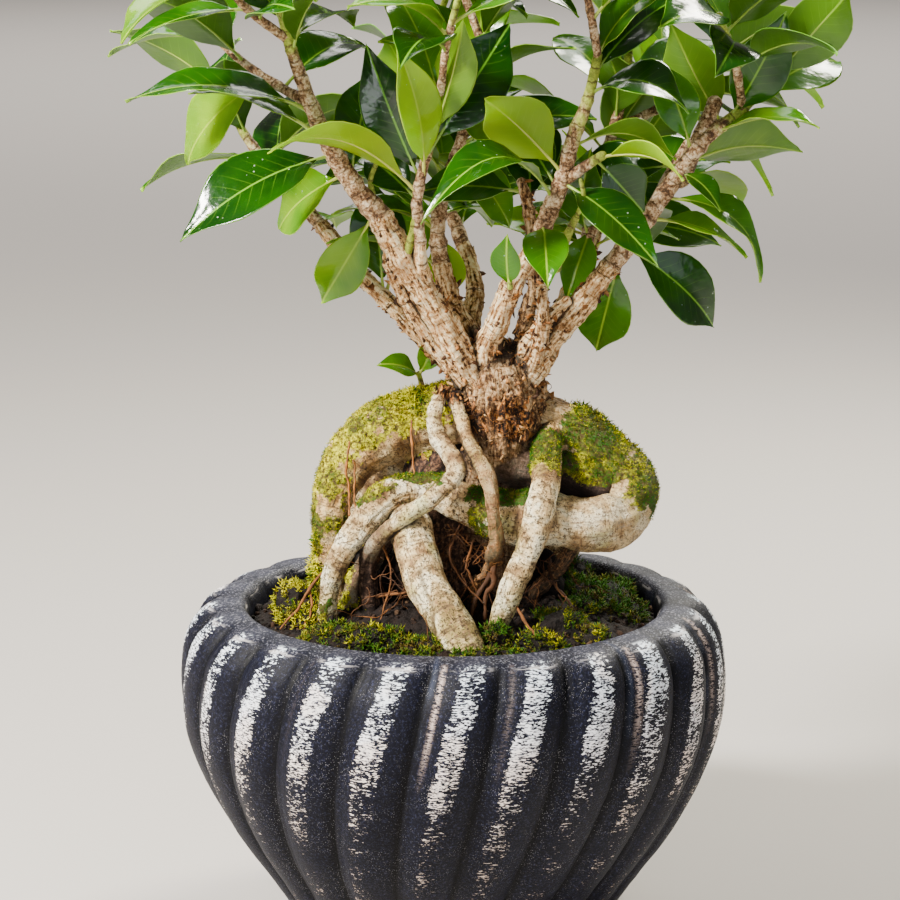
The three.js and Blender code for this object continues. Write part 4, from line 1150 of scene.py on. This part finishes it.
def growLeaves():
    bark, stems = woodSamples()
    placed = [{"owner": name, "leaf": leaf, "number": number, **sampleLeaf(leaf)}
              for name, s in sprays.items() for number, leaf in enumerate(s.get("leaves", []))]
    f = foliage
    for name, spray in sprays.items():
        course, count = courseOf(spray["stem"]), spray.get("count", 0)
        for i in range(count):
            share = spray["first"] + (1 - spray["first"]) * (i + 0.5) / count
            foot, along = pointOn(course, share)[0], alongAt(course, share)[0]
            east = unit(np.cross((0, 0, 1), along))
            north = np.cross(along, east)
            for attempt in range(f["tries"]):
                turn = i * f["goldenTurn"] + draw(-f["turnVaries"], f["turnVaries"]) + attempt * f["turnAgain"]
                usual = f["spread"][0] + (f["spread"][1] - f["spread"][0]) * share
                spread = usual + draw(-f["spreadVaries"], f["spreadVaries"])
                length = draw(*f["length"]) * (1 - attempt * f["shorterAgain"])
                away = east * math.cos(turn) + north * math.sin(turn)
                tip = foot + (along * math.cos(spread) + away * math.sin(spread)) * length
                tip[2] -= length * draw(*f["droop"])
                face = np.array([foot[0], foot[1], f["crownRadius"]]) / f["crownRadius"]
                face = face + along * f["faceForward"]
                leaf = (foot, tip, length * f["slimness"], face, draw(*f["arch"]))
                if isClear(leaf, name, bark, stems, placed):
                    placed.append({"owner": name, "leaf": leaf, "number": -1, **sampleLeaf(leaf)})
                    break
    return placed


leafTones = {  # from dark and glossy, 0, to young and lime green, 1
    "leftTip": (0.1, 0.3, 0.4, 0.7, 0.72, 0.25),
    "leftShoot": (0.95, 0.05, 1.0, 0.35, 0.03, 0.55, 0.15),
    "centreLeft": (1.0, 0.6, 0.75),
    "middle": (0.22, 0.92, 0.12, 0.5, 0.15, 0.2, 0.92, 0.12, 0.5),
    "right": (0.12, 0.5, 0.5, 0.3, 0.4, 0.6, 0.2, 0.6),
    "backMiddle": (0.65, 0.3),
    "leftOuter": (0.8,),
    "lowLeafMiddle": (0.55,),
    "shoulderSprout": (0.55, 0.75),
}
snags = (  # twigs and broken stubs without leaves: points of x, y, z and radius, and how green
    ([(69, 0, 236, 3.2), (73, 0, 244, 3), (77, 1, 252, 2.9), (80, 3, 260, 2.5)], 0.05),
    ([(60, 6, 224, 2.2), (66, 6, 235, 2.3), (73, 6, 247, 2)], 0),
    ([(31, -9, 210, 1.7), (34, -14, 220, 1.4), (37, -17, 227, 1.2)], 0.75),
    ([(37, -17, 227, 0.8), (39, -20, 233, 0.7), (38, -23, 239, 0.6)], 1),
    ([(-16, -16, 210, 1.5), (-13, -19, 220, 1.2), (-11, -21, 230, 1)], 0.95),
    ([(-24, -16, 232, 1), (-25, -18, 238, 0.9), (-23, -21, 244, 0.7)], 1),
)


def addLeaf(pile, leaf, tone, draws):
    course = leafCourse(leaf)
    rows, columns = foliage["rows"], foliage["columns"]
    start = foliage["petioleShare"] - 0.03
    share = start + (0.997 - start) * np.sin(np.linspace(0, math.pi / 2, rows)) ** 1.15
    across = np.sin(np.linspace(-1, 1, columns) * math.pi / 2 * 0.94) / math.sin(math.pi / 2 * 0.94)
    oval = leafHalfWidth(share, leaf[2]) * (1 - 0.42 * smoothStep(0.66, 0.97, share))
    half = np.where(share < 0.2, np.maximum(oval, 0.3), oval) * (1 - smoothStep(0.95, 1.003, share))
    half = np.maximum(half, 0.1)
    line, up = leafLine(course, share), leafUp(course, share)
    s, a = share[:, None], across[None, :]
    wave = draws.uniform(0.02, 0.05) * leaf[2] * a**2
    wave = wave * np.sin(s * draws.uniform(9, 14) + draws.uniform(0, 6) + a)
    rise = foliage["fold"] * half[:, None] * np.abs(a) ** 1.25 + wave * smoothStep(0.15, 0.3, s)
    rise -= 0.28 * bell(a * half[:, None], 0.7)
    middle = line[:, None] + course[3] * (a * half[:, None])[..., None] + up[:, None] * rise[..., None]
    thick = foliage["thickness"] * (1 - 0.5 * np.abs(a) ** 3) + 0 * s
    top = middle + up[:, None] * thick[..., None] / 2
    bottom = middle - up[:, None] * thick[..., None] / 2
    size = rows * columns
    row, col = (v.ravel() for v in np.meshgrid(np.arange(rows - 1), np.arange(columns - 1), indexing="ij"))
    one = row * columns + col
    upper = np.stack([one, one + columns, one + columns + 1, one + 1], axis=1)
    lower = upper[:, ::-1] + size
    r, c = np.arange(rows - 1) * columns, np.arange(columns - 1)
    left = np.stack([r, r + size, r + columns + size, r + columns], axis=1)
    far = r + columns - 1
    right = np.stack([far + columns, far + columns + size, far + size, far], axis=1)
    foot = np.stack([c, c + 1, c + 1 + size, c + size], axis=1)
    last = (rows - 1) * columns + c
    tip = np.stack([last + size, last + 1 + size, last + 1, last], axis=1)
    shares, acrosses = np.broadcast_arrays(s, a)
    both = np.vstack([top.reshape(-1, 3), bottom.reshape(-1, 3)])
    addPart(pile, both, np.vstack([upper, lower, left, right, foot, tip]), tone=tone,
            along=np.tile(shares.ravel(), 2), across=np.tile(acrosses.ravel(), 2),
            halfWidth=np.tile(np.repeat(half, columns), 2), upper=np.repeat([1.0, 0.0], size), blade=1)
    ribShare = np.linspace(-0.01, 0.9, 14)
    radius = np.interp(ribShare, [0, 0.05, 0.13, 0.2, 0.9], [0.75, 0.56, 0.5, 0.38, 0.1])
    under = leafUp(course, ribShare) * np.interp(ribShare, [0.08, 0.2, 0.9], [0, 0.45, 0.3])[:, None]
    points, faces, run = tubeOf(leafLine(course, ribShare) - under, radius, 5)
    addPart(pile, points, faces, tone=tone, along=run, across=0, halfWidth=1, upper=0, blade=0)


def makeSprays(placed):
    draws = drawsFor(44)
    look = leafSkin()
    for name in sprays:
        pile = newPile()
        tones = leafTones.get(name, ())
        for grown in (leaf for leaf in placed if leaf["owner"] == name):
            byRule = np.clip(draws.beta(1.3, 2.4), 0.02, 1)
            tone = tones[grown["number"]] if grown["number"] >= 0 else byRule
            foot, tip, *form = grown["leaf"]
            shift = foliage["tipShifts"].get((name, grown["number"]), 0)
            addLeaf(pile, (foot, np.add(tip, shift), *form), tone, draws)
        node = "spray_" + "".join("_" + letter.lower() if letter.isupper() else letter for letter in name)
        makePiece(name + "Leaves", meshOf(name, pile), look, "leaf", node)


inner = {  # leaves that fill the crown behind the placed ones
    "tries": 1700,
    "most": 62,
    "low": (-42, 0, 214),
    "high": (104, 60, 300),
    "length": (30, 46),
    "slimness": 0.45,
    "reach": (12, 28),  # from the wood that a leaf starts on to where it aims
    "lowest": 195,
    "woodFrom": 190,  # lower wood isn't near these leaves
}


def makeInnerLeaves(placed):
    draws = drawsFor(46)
    bark, stems = woodSamples()
    spots = np.vstack([bark, *stems.values()])
    grown, pile = list(placed), newPile()
    nearest, farthest = inner["reach"]
    for _ in range(inner["tries"]):
        aim = draws.uniform(inner["low"], inner["high"])
        away = np.linalg.norm(spots[:, :3] - aim, axis=1)
        level = (spots[:, 2] > inner["lowest"]) & (spots[:, 2] < aim[2] + 8)
        fit = np.flatnonzero((away > nearest) & (away < farthest) & level)
        if not len(fit):
            continue
        foot = spots[draws.choice(fit)]
        length = draws.uniform(*inner["length"])
        way = unit(aim - foot[:3])
        tip = foot[:3] + way * length - (0, 0, length * draws.uniform(0, 0.2))
        face = (0.2 * way[0], -0.35 + draws.normal(0, 0.3), 0.8)
        start, width = foot[:3] + way * foot[3] * 0.8, length * inner["slimness"]
        leaf = (start, tip, width, face, draws.uniform(0.08, 0.18))
        if isClear(leaf, "inner", bark[bark[:, 2] > inner["woodFrom"]], stems, grown):
            grown.append({"owner": "inner", "leaf": leaf, "number": -1, **sampleLeaf(leaf)})
            addLeaf(pile, leaf, draws.beta(1.6, 2.2), draws)
        if len(grown) - len(placed) == inner["most"]:
            break
    print("inner leaves:", len(grown) - len(placed), "beside", len(placed))
    makePiece("innerLeaves", pile, bpy.data.materials["leafSkin"], "leaf")


def makeStems():
    pile, sides = newPile(), foliage["stemSides"]
    for number, spray in enumerate(sprays.values()):
        for points in stemsOf(spray):
            share, run, line, radius = sampled(points, 0.9, 3)
            rough = roughRound(run / 1.8, 4, sides, 1.5, number)
            scars = 0.14 * bell((run + number * 3) % 9 - 4, 0.7)
            young = smoothStep(0.35, 0.95, share + 0.1 * noiseAt(line, 8, 3))
            radii = radius[:, None] * (1 + scars[:, None] + rough * (0.16 - 0.11 * young[:, None]))
            tube, faces, along = tubeOf(line, radii, sides)
            addPart(pile, tube, faces, young=np.interp(along, share, young), run=along * run[-1])
    for points, green in snags:
        course, share = courseOf(points), np.linspace(0, 1, 16)
        line = pointOn(course, share)
        radii = radiusOn(course, share) * (1 + 0.12 * roughAt(line, 2.5, 6))
        tube, faces, along = tubeOf(line, radii, sides)
        addPart(pile, tube, faces, young=green, run=along * course["length"])
    makePiece("leafStems", pile, shootSkin(), "bark")


def shootSkin():
    place = newMaterial("shootSkin", 0.3)
    cloud, fine = grain(place, 260, 3, 0.6), grain(place, 1100, 4, 0.7)
    mixed, wobble = cloud * 0.45 + fine * 0.55, cloud - 0.5
    old, fresh = shades(mixed, foliage["oldShoot"]), shades(mixed, foliage["youngShoot"])
    colour = blend(within(marked("young") + wobble, 0.4, 0.75), old, fresh)
    ring = stripes(marked("run") * 0.23 + wobble, 0.09, 0.02, 0.75)
    colour = blend(ring, colour, (0.07, 0.035, 0.014))
    return finishWith(colour, 0.7, raised(mixed - ring * 0.4, 0.0006, 0.7))


def leafSkin():
    place = newMaterial("leafSkin", 0.55)
    along, across, half = (marked(label) for label in ("along", "across", "halfWidth"))
    upper, tone, blade = (marked(label) for label in ("upper", "tone", "blade"))
    off = maths("ABSOLUTE", across)
    mixed = tone + within(grain(place, 70, 2, 0.5), 0.3, 0.7, -0.1, 0.1)
    colour = blend(upper, shades(mixed, foliage["under"]), shades(mixed, foliage["top"]))
    # Side veins leave the midrib forward at a slant and fade toward the edge
    vein = stripes((off * -0.16 + along) * 13, 0.07, 0) * within(off, 0.95, 0.2, 0, 0.2)
    midrib, margin = within(off * half, 0.45, 0.12, 0, 0.8), within(off, 0.965, 0.995, 0, 0.75)
    pale = blend(tone, (0.14, 0.4, 0.02), (0.66, 0.8, 0.05))
    colour = blend(maths("MAXIMUM", maths("MAXIMUM", vein, midrib), margin), colour, pale)
    dust = within(cells(place, 420), 0.14, 0.05) * within(grain(place, 160, 2), 0.5, 0.62, 0, 0.6) * upper
    colour = blend(dust, colour, (0.7, 0.8, 0.55))
    colour = blend(blade, shades(tone, foliage["stalk"]), colour)
    bumps = raised(vein * -0.6 + grain(place, 650, 2) * 0.6, 0.00016, 0.55)
    bumps = raised(grain(place, 170, 2), 0.0009, 0.3, bumps)
    roughness = blend(upper, (0.4, 0.4, 0.4), (0.15, 0.15, 0.15))
    glow, tint = blade * within(tone, 0, 1, 0.12, 0.5), blend(0.6, colour, (0.55, 0.9, 0))
    return finishWith(colour, roughness, bumps, glow, tint)


# Bark flakes, torn fibres and hair roots
def wedge():
    # A bark flake: sunk at its foot, its ragged tip stands off
    outline = np.array([(-0.5, 0, -0.12), (0.5, 0, -0.12), (0.42, 0.7, 0.16), (0.05, 1.15, 0.42),
                        (-0.4, 0.75, 0.22)])
    under = outline * (0.86, 0.9, 1) - (0, 0, 0.16)
    count = len(outline)
    top = [(0, 1, 2), (0, 2, 4), (4, 2, 3)]
    bottom = [tuple(k + count for k in face[::-1]) for face in top]
    sides = []
    for k in range(count):
        after = (k + 1) % count
        sides += [(k, k + count, after + count), (k, after + count, after)]
    return np.vstack([outline, under]), np.array(top + bottom + sides)


def loopOf(height, twist):
    share = np.linspace(0, 1, 6)
    line = np.stack([share - 0.5, twist * np.sin(share * 5), height * np.sin(math.pi * share) - 0.04], axis=1)
    points, (quads, caps), _ = tubeOf(line, np.full(6, 0.026), 3)
    halves = np.vstack([quads[:, [0, 1, 2]], quads[:, [0, 2, 3]]])
    return points, np.vstack([halves, caps])


ragged = {
    "flakesPerArea": 0.3,
    "flakeLength": (0.9, 2.6),
    "loopsPerArea": 0.26,
    "loopLength": (1.6, 4.4),
    "loopKinds": 5,
    "colours": [(0, 0.02, 0.009, 0.005), (0.35, 0.12, 0.045, 0.014), (0.65, 0.38, 0.14, 0.03),
        (0.85, 0.58, 0.28, 0.08), (1, 0.72, 0.45, 0.2)],
}


def scatterOnAll(dressed, weigh, perArea, draws):
    found = [np.hstack(scatterOn(mesh, weigh(pointsOf(mesh), look), perArea, draws)) for mesh, look in dressed]
    found = np.vstack(found)
    return found[:, :3], found[:, 3:]


def flakyShare(points, look):
    patches = smoothStep(0.0, 0.45, noiseAt(points, 6, 34))
    under = smoothStep(215, 170, points[:, 2]) * 0.25
    share = look["bark"] * (patches * 0.8 + under) + look["rust"] * 0.8
    return share * (points[:, 2] > 145) * (look["pale"] < 0.6)


def makeFlakes(dressed):
    draws = drawsFor(51)
    spots, ups = scatterOnAll(dressed, flakyShare, ragged["flakesPerArea"], draws)
    low, high = ragged["flakeLength"]
    length = low + (high - low) * draws.random(len(spots)) ** 2
    sizes = np.stack([length * draws.uniform(0.5, 0.9, len(spots)), length, length * 0.8], axis=1)
    pile = newPile()
    addCopies(pile, wedge(), spots, ups, sizes, draws, 0.15, tone=draws.random(len(spots)))
    makePiece("barkFlakes", pile, fibreSkin("flakeSkin"), "bark")


def fibreShare(points, look):
    return look["rust"] ** 2 * (points[:, 2] > 118) * (look["pale"] < 0.6)


def makeFibres(dressed):
    draws = drawsFor(52)
    spots, ups = scatterOnAll(dressed, fibreShare, ragged["loopsPerArea"], draws)
    low, high = ragged["loopLength"]
    sizes = low + (high - low) * draws.random(len(spots)) ** 2
    pile = newPile()
    for k in range(ragged["loopKinds"]):
        some = slice(k, None, ragged["loopKinds"])
        loop, tone = loopOf(0.12 + 0.1 * k, 0.22 - 0.1 * k), draws.random(len(spots[some]))
        addCopies(pile, loop, spots[some], ups[some], sizes[some], draws, 0.35, tone=tone)
    makePiece("rustFibres", pile, fibreSkin("fibreSkin"), "bark")


def fibreSkin(name):
    place = newMaterial(name, 0.25)
    colour = shades(marked("tone"), ragged["colours"])
    colour = blend(within(grain(place, 500), 0.42, 0.62, 0, 0.7), colour, (0.06, 0.03, 0.016))
    return finishWith(colour, 0.85, raised(grain(place, 1800, 2), 0.0003, 0.6))


hairRoots = {
    "golden": 3,  # how many of the placed ones, on the shoulder, are lighter
    "goldenTone": 0.62,
    "placed": [  # points of x, y, z and radius
        [(-32, -9, 156, 0.45), (-33, -14, 150, 0.5), (-32, -15, 142, 0.5), (-32, -19, 135, 0.4)],
        [(-31, -10, 151, 0.35), (-30, -15, 146, 0.4), (-30.5, -16, 140, 0.4), (-29, -21, 134, 0.3)],
        [(-13, -9, 163, 0.4), (-13, -14, 157, 0.5), (-12, -15, 150, 0.45), (-12, -18, 146, 0.35)],
        [(18, -33, 112, 0.6), (21, -37, 108, 0.6), (25, -41, 103, 0.5), (29, -44, 99, 0.35)],
        [(12, -33, 107, 0.6), (15, -39, 103, 0.5), (19, -44, 99, 0.4)],
        [(30, -3, 117, 0.6), (31, -9, 112, 0.5), (36, -13, 106, 0.5), (39, -18, 101, 0.3)],
        [(-41, -10, 114, 0.6), (-46, -14, 109, 0.7), (-49, -17, 104, 0.6), (-54, -20, 99, 0.4)],
        [(-45, -12, 110, 0.5), (-44, -17, 105, 0.5), (-47, -22, 99, 0.4)],
        [(-24, -17, 108, 0.6), (-20, -20, 110, 0.7), (-15, -23, 112, 0.6), (-11, -24, 116, 0.5)],
        [(6, -22, 128, 0.5), (4, -24, 120, 0.5), (7, -25, 112, 0.5), (4, -27, 102, 0.4)],
        [(2, -20, 132, 0.4), (-1, -24, 124, 0.5), (2, -27, 117, 0.4), (9, -30, 110, 0.3)],
        [(-22, -20, 134, 0.4), (-21, -22, 124, 0.4), (-19, -24, 116, 0.4), (-23, -25, 102, 0.3)],
        [(12.5, -27, 122, 1.1), (12, -28, 116, 1), (9.5, -28.5, 111, 0.9), (10, -30, 105, 0.6)],
        [(11.5, -27, 119, 0.9), (8, -28.5, 113, 0.8), (5.5, -29, 108, 0.7), (4, -31, 101, 0.4)],
    ],
    "tangles": [  # centre, half size and number of roots in a tangle
        ((-19, -14, 112), (11, 8, 12), 40),
        ((3, -12, 116), (11, 12, 13), 66),
        ((24, -10, 116), (9, 9, 11), 26),
        ((-12, 10, 112), (18, 10, 12), 22),
        ((22, 14, 112), (14, 10, 12), 22),
        ((2, -46, 102), (16, 6, 3), 8),
    ],
}


def makeHairRoots():
    draws = drawsFor(61)
    pile = newPile()
    courses = [np.array(points, float) for points in hairRoots["placed"]]
    for centre, half, count in hairRoots["tangles"]:
        for _ in range(count):
            start = centre + np.array(half) * draws.uniform(-1, 1, 3)
            drift = unit(draws.normal(0, 1, 3) + (0, 0, -0.9)) * draws.uniform(2.5, 5)
            steps = np.cumsum(drift + draws.normal(0, 1.7, (draws.integers(4, 8), 3)), axis=0)
            line = np.vstack([start, start + steps])
            line[:, 2] = np.maximum(line[:, 2], 98)
            radius = draws.uniform(0.1, 0.28) * np.linspace(1, 0.45, len(line))
            courses.append(np.column_stack([line, radius]))
    for number, points in enumerate(courses):
        _, _, line, radius = sampled(points, 1.7, 4)
        line = line + 0.5 * np.stack([roughAt(line, 3, k) for k in range(3)], axis=1)
        tube, faces, _ = tubeOf(line, radius * (0.85 + 0.35 * noiseAt(line, 1.7, 4)), 5)
        tone = draws.uniform(0.05, 0.48)
        addPart(pile, tube, faces, tone=hairRoots["goldenTone"] if number < hairRoots["golden"] else tone)
    makePiece("hairRoots", pile, fibreSkin("hairRootSkin"), "bark")


# Moss: sprigs of small pointed leaves, short and dense on wood, longer on the soil
moss = {
    "kinds": 5,
    "heaps": [  # bare dark soil among the roots: centre, half size
        ((-27, 0, 107), (9, 9, 13)),
        ((-13, 3, 110), (11, 8, 17)),
        ((5, 2, 112), (11, 8, 17)),
        ((24, 5, 108), (10, 8, 13)),
    ],
    "woodPerArea": 2.8,
    "woodHeight": (0.45, 1.25),
    "lush": [  # where the moss on wood stands higher: centre, reach, how much higher
        ((-14, 0, 169), 8, 2.4), ((-45, -5, 117), 8, 2.2), ((-43, -6, 104), 8, 2.2), ((42, 4, 167), 9, 2.4),
        ((54, 4, 157), 8, 2.4), ((62, 2, 145), 8, 1.6),
    ],
    "edge": (63.2, 62.8),  # how far out a mound and the moss on it reach
    "moundGrid": (13, 30),
    # Colours as stops of place, red, green and blue, of the sprigs and of the wood's skin under them
    "colours": [(0, 0.03, 0.2, 0.003), (0.28, 0.035, 0.1, 0.001), (0.5, 0.13, 0.185, 0), (0.75, 0.4, 0.41, 0),
        (1, 0.9, 0.84, 0)],
    "bedColours": [(0, 0.02, 0.11, 0.002), (0.35, 0.07, 0.1, 0.001), (0.75, 0.36, 0.36, 0.002),
        (1, 0.78, 0.72, 0.004)],
    "soilHeight": (0.9, 3.3),
    "soilPerArea": 0.98,
    "mounds": [  # centre on the soil, half size, tone
        ((-50, 2, 99), (7, 14, 9), 0.75),
        ((-45, -12, 99), (8, 8, 6), 0.8),
        ((-37, -41, 99), (10, 9, 5.4), 0.42),
        ((-23, -44, 99), (11, 9, 6.4), 0.36),
        ((-9, -49, 98), (9, 7, 5), 0.33),
        ((6, -57, 97.6), (11, 4, 4.6), 0.3),
        ((-4, -54, 97.6), (5, 4, 4.8), 0.3),
        ((12.5, -45, 99), (3.6, 4, 9), 0),
        ((14, -54, 97.6), (6, 4, 4), 0.3),
        ((46, 8, 98.5), (12, 20, 6.5), 0.08),
        ((37, 17, 100.5), (9, 12, 8), 0.04),
        ((54, -4, 98), (6, 9, 3.5), 0.3),
        ((31, -27, 99.5), (9, 9, 6), 0.38),
        ((41, -30, 98.5), (7, 7, 4), 0.34),
        ((25, -42, 98.5), (9, 6, 4.5), 0.36),
        ((20, 48, 98), (20, 8, 5), 0.5),
        ((-28, 44, 98), (17, 10, 5), 0.6),
    ],
}


def sprigOf(tiers, perTier, spread, draws):
    # Tiers of pointed leaves round a stalk that isn't seen between them
    points, faces = [], []
    for tier in range(tiers):
        for k in range(perTier):
            turn = k * 2 * math.pi / perTier + tier * 1.1 + draws.uniform(-0.4, 0.4)
            way = np.array((math.cos(turn), math.sin(turn), 0))
            side = np.array((-way[1], way[0], 0))
            foot = np.array((0, 0, tier / tiers * 0.75 - 0.1))
            reach = spread * (1 - 0.45 * tier / tiers) * draws.uniform(0.8, 1.2)
            tip = foot + way * reach + (0, 0, 0.3 + 0.25 * tier / tiers)
            start = len(points)
            points += [foot + side * 0.1, foot - side * 0.1, foot + way * 0.14 - (0, 0, 0.08), tip]
            corners = ((0, 1, 2), (1, 0, 3), (2, 1, 3), (0, 2, 3))
            faces += [(start + a, start + b, start + c) for a, b, c in corners]
    return np.array(points), np.array(faces)


def makeMossSprigs(name, spots, ups, heights, tones, shape, seed):
    draws = drawsFor(seed)
    pile = newPile()
    for k in range(moss["kinds"]):
        some = slice(k, None, moss["kinds"])
        sprig = sprigOf(*shape, 0.4 + 0.1 * k, draws)
        addCopies(pile, sprig, spots[some], ups[some], heights[some], draws, 0.3, tone=tones[some])
    makePiece(name, pile, bpy.data.materials.get("mossSkin") or mossSkin(), "moss")


def makeWoodMoss(dressed):
    draws = drawsFor(71)
    found = []
    for mesh, look in dressed:
        thinner = 1 - 0.55 * smoothStep(8, 16, pointsOf(mesh)[:, 1])
        spots, ups = scatterOn(mesh, look["moss"] ** 1.3 * thinner, moss["woodPerArea"], draws)
        tones = look["mossTone"][nearestOf(pointsOf(mesh), spots)]
        found.append(np.column_stack([spots, ups, tones]))
    found = np.vstack(found)
    low, high = moss["woodHeight"]
    patchy = np.clip(0.9 + 0.6 * roughAt(found[:, :3], 5, 8), 0.62, 1.4)
    heights = low + (high - low) * draws.random(len(found)) * patchy
    for centre, reach, more in moss["lush"]:
        away = np.linalg.norm(found[:, :3] - centre, axis=1)
        heights *= 1 + more * bell(away, reach) * draws.random(len(found))
    tones = np.clip(found[:, 6] + draws.normal(0, 0.26, len(found)), 0, 1)
    left = found[:, 0] < 6
    for name, some, seed in (("shoulderMoss", left, 72), ("lobeMoss", ~left, 73)):
        makeMossSprigs(name, found[some, :3], found[some, 3:6], heights[some], tones[some], (3, 1), seed)


def nearestOf(points, spots):
    tree = kdtree.KDTree(len(points))
    for k, point in enumerate(points):
        tree.insert(point, k)
    tree.balance()
    return np.array([tree.find(spot)[1] for spot in spots], int)


def moundSurface(way, number, half, centre):
    # A direction from a mound's centre, made into a point of its lumpy surface
    points = way * (1 + 0.32 * roughAt(way * 10 + number * 50, 6, number)[:, None]) * half + centre
    return points + way * 0.6 * roughAt(points, 2.4, 5)[:, None]


def makeMounds():
    draws = drawsFor(81)
    pile = newPile()
    (rows, columns), (moundEdge, mossEdge) = moss["moundGrid"], moss["edge"]
    spots, ups, tones = [], [], []
    bare = [(*heap, -1) for heap in moss["heaps"]]
    for number, (centre, half, tone) in enumerate(moss["mounds"] + bare):
        lift, turn = np.meshgrid(np.linspace(-0.15, 0.97, rows) * math.pi / 2, turnsOf(columns), indexing="ij")
        way = np.stack([np.cos(lift) * np.cos(turn), np.cos(lift) * np.sin(turn), np.sin(lift)], axis=-1)
        points = moundSurface(way.reshape(-1, 3), number, half, centre)
        reach = np.linalg.norm(points[:, :2], axis=1, keepdims=True)
        points[:, :2] *= np.minimum(1, moundEdge / reach)
        tips = (points[:columns].mean(axis=0), points[-columns:].mean(axis=0))
        addPart(pile, *closed(points.reshape(rows, columns, 3), tips), tone=0.15 * max(tone, 0))
        if tone < 0:
            continue
        steep = max(1, half[2] / min(half[:2]))
        count = int(math.pi * half[0] * half[1] * 1.5 * moss["soilPerArea"] * steep)
        way = unit(draws.normal(0, 1, (count, 3)))
        way[:, 2] = np.abs(way[:, 2])
        on = moundSurface(way, number, half, centre)
        grown = roughAt(on, 7, 61) + draws.random(count) > (0.05 if tone > 0 else -1)
        kept = grown & (np.linalg.norm(on[:, :2], axis=1) < mossEdge)
        spots.append(on[kept])
        ups.append(unit(way / np.array(half))[kept] + (0, 0, 0.4))
        tones.append(np.clip(tone + 0.35 * roughAt(on, 5, 63) + draws.normal(0, 0.15, count), 0, 1)[kept])
    makePiece("mossMounds", pile, pottingSoil("mossMat"), "soil")
    spots, ups, tones = np.vstack(spots), np.vstack(ups), np.concatenate(tones)
    low, high = moss["soilHeight"]
    heights = low + (high - low) * draws.random(len(spots)) ** 1.3
    makeMossSprigs("soilMoss", spots, ups, heights, tones, (3, 2), 82)


def mossSkin():
    place = newMaterial("mossSkin", 0.25)
    shade = marked("tone") + within(grain(place, 900, 3, 0.6), 0.3, 0.7, -0.3, 0.3)
    low = within(heightOf(place), 0.116, 0.108, 0, 0.2)
    browned = within(grain(place, 210), 0.5, 0.66, 0, 0.7) + low
    colour = blend(browned, shades(shade, moss["colours"]), (0.13, 0.07, 0.012))
    return finishWith(colour, 0.8, raised(grain(place, 1500, 2), 0.0005, 0.5), 0.3, colour)


# Camera, light and floor
stage = {
    "target": (-1.09, 0, 151.6),
    "distance": 900,
    "elevation": 12,
    "lens": 115.1,
    "floor": 12000,
    "sky": (0.66, 0.62, 0.57, 1),
    "skyLight": 0.24,
    "lamps": [  # name, place, aim, size, watts, colour
        ("keyLamp", (-620, -420, 760), (0, 0, 170), 190, 38, (1, 0.96, 0.89)),
        ("backLamp", (420, 620, 820), (0, 0, 230), 330, 18, (1, 0.96, 0.82)),
        ("fillLamp", (760, -620, 300), (0, 0, 150), 600, 1.5, (0.85, 0.92, 1)),
        ("frontLamp", (-120, -1100, 330), (0, 0, 130), 420, 3.0, (0.95, 0.97, 1)),
        ("farLamp", (0, 3400, 2600), (0, 3400, 0), 3000, 150, (1, 0.97, 0.93)),
    ],
}


def makeStage():
    scene = bpy.context.scene
    target = np.array(stage["target"])
    lift = math.radians(stage["elevation"])
    camera = bpy.data.objects.new("camera", bpy.data.cameras.new("camera"))
    camera.data.lens = stage["lens"]
    camera.data.sensor_width = 36
    camera.location = (target + stage["distance"] * np.array((0, -math.cos(lift), math.sin(lift)))) * mm
    camera.rotation_euler = (math.pi / 2 - lift, 0, 0)
    scene.collection.objects.link(camera)
    scene.camera = camera
    size = stage["floor"] * mm
    floorMesh = bpy.data.meshes.new("floor")
    corners = [(-size, -size, 0), (size, -size, 0), (size, size, 0), (-size, size, 0)]
    floorMesh.from_pydata(corners, [], [(0, 1, 2, 3)])
    floor = bpy.data.objects.new("floor", floorMesh)
    floor.location.z = -0.0002
    paperGrain = raised(grain(newMaterial("floorPaper", 0.2), 300, 2), 0.0002, 0.1)
    floorMesh.materials.append(finishWith((0.5, 0.47, 0.44), 0.9, paperGrain))
    scene.collection.objects.link(floor)
    for name, place, aim, size, watts, tint in stage["lamps"]:
        light = bpy.data.lights.new(name, "AREA")
        light.size = size * mm
        light.energy = watts
        light.color = tint
        lamp = bpy.data.objects.new(name, light)
        lamp.location = np.array(place) * mm
        lamp.rotation_euler = Vector(np.array(aim, float) - place).to_track_quat("-Z", "Y").to_euler()
        scene.collection.objects.link(lamp)
    world = bpy.data.worlds.new("studio")
    world.use_nodes = True
    world.node_tree.nodes["Background"].inputs[0].default_value = stage["sky"]
    world.node_tree.nodes["Background"].inputs[1].default_value = stage["skyLight"]
    scene.world = world


makeStage()
makePot()
makeSoil()
makeCrumbs()
dressedWood = makeWood()
makeFlakes(dressedWood)
makeFibres(dressedWood)
makeHairRoots()
makeStems()
placedLeaves = growLeaves()
makeSprays(placedLeaves)
makeInnerLeaves(placedLeaves)
makeWoodMoss(dressedWood)
makeMounds()
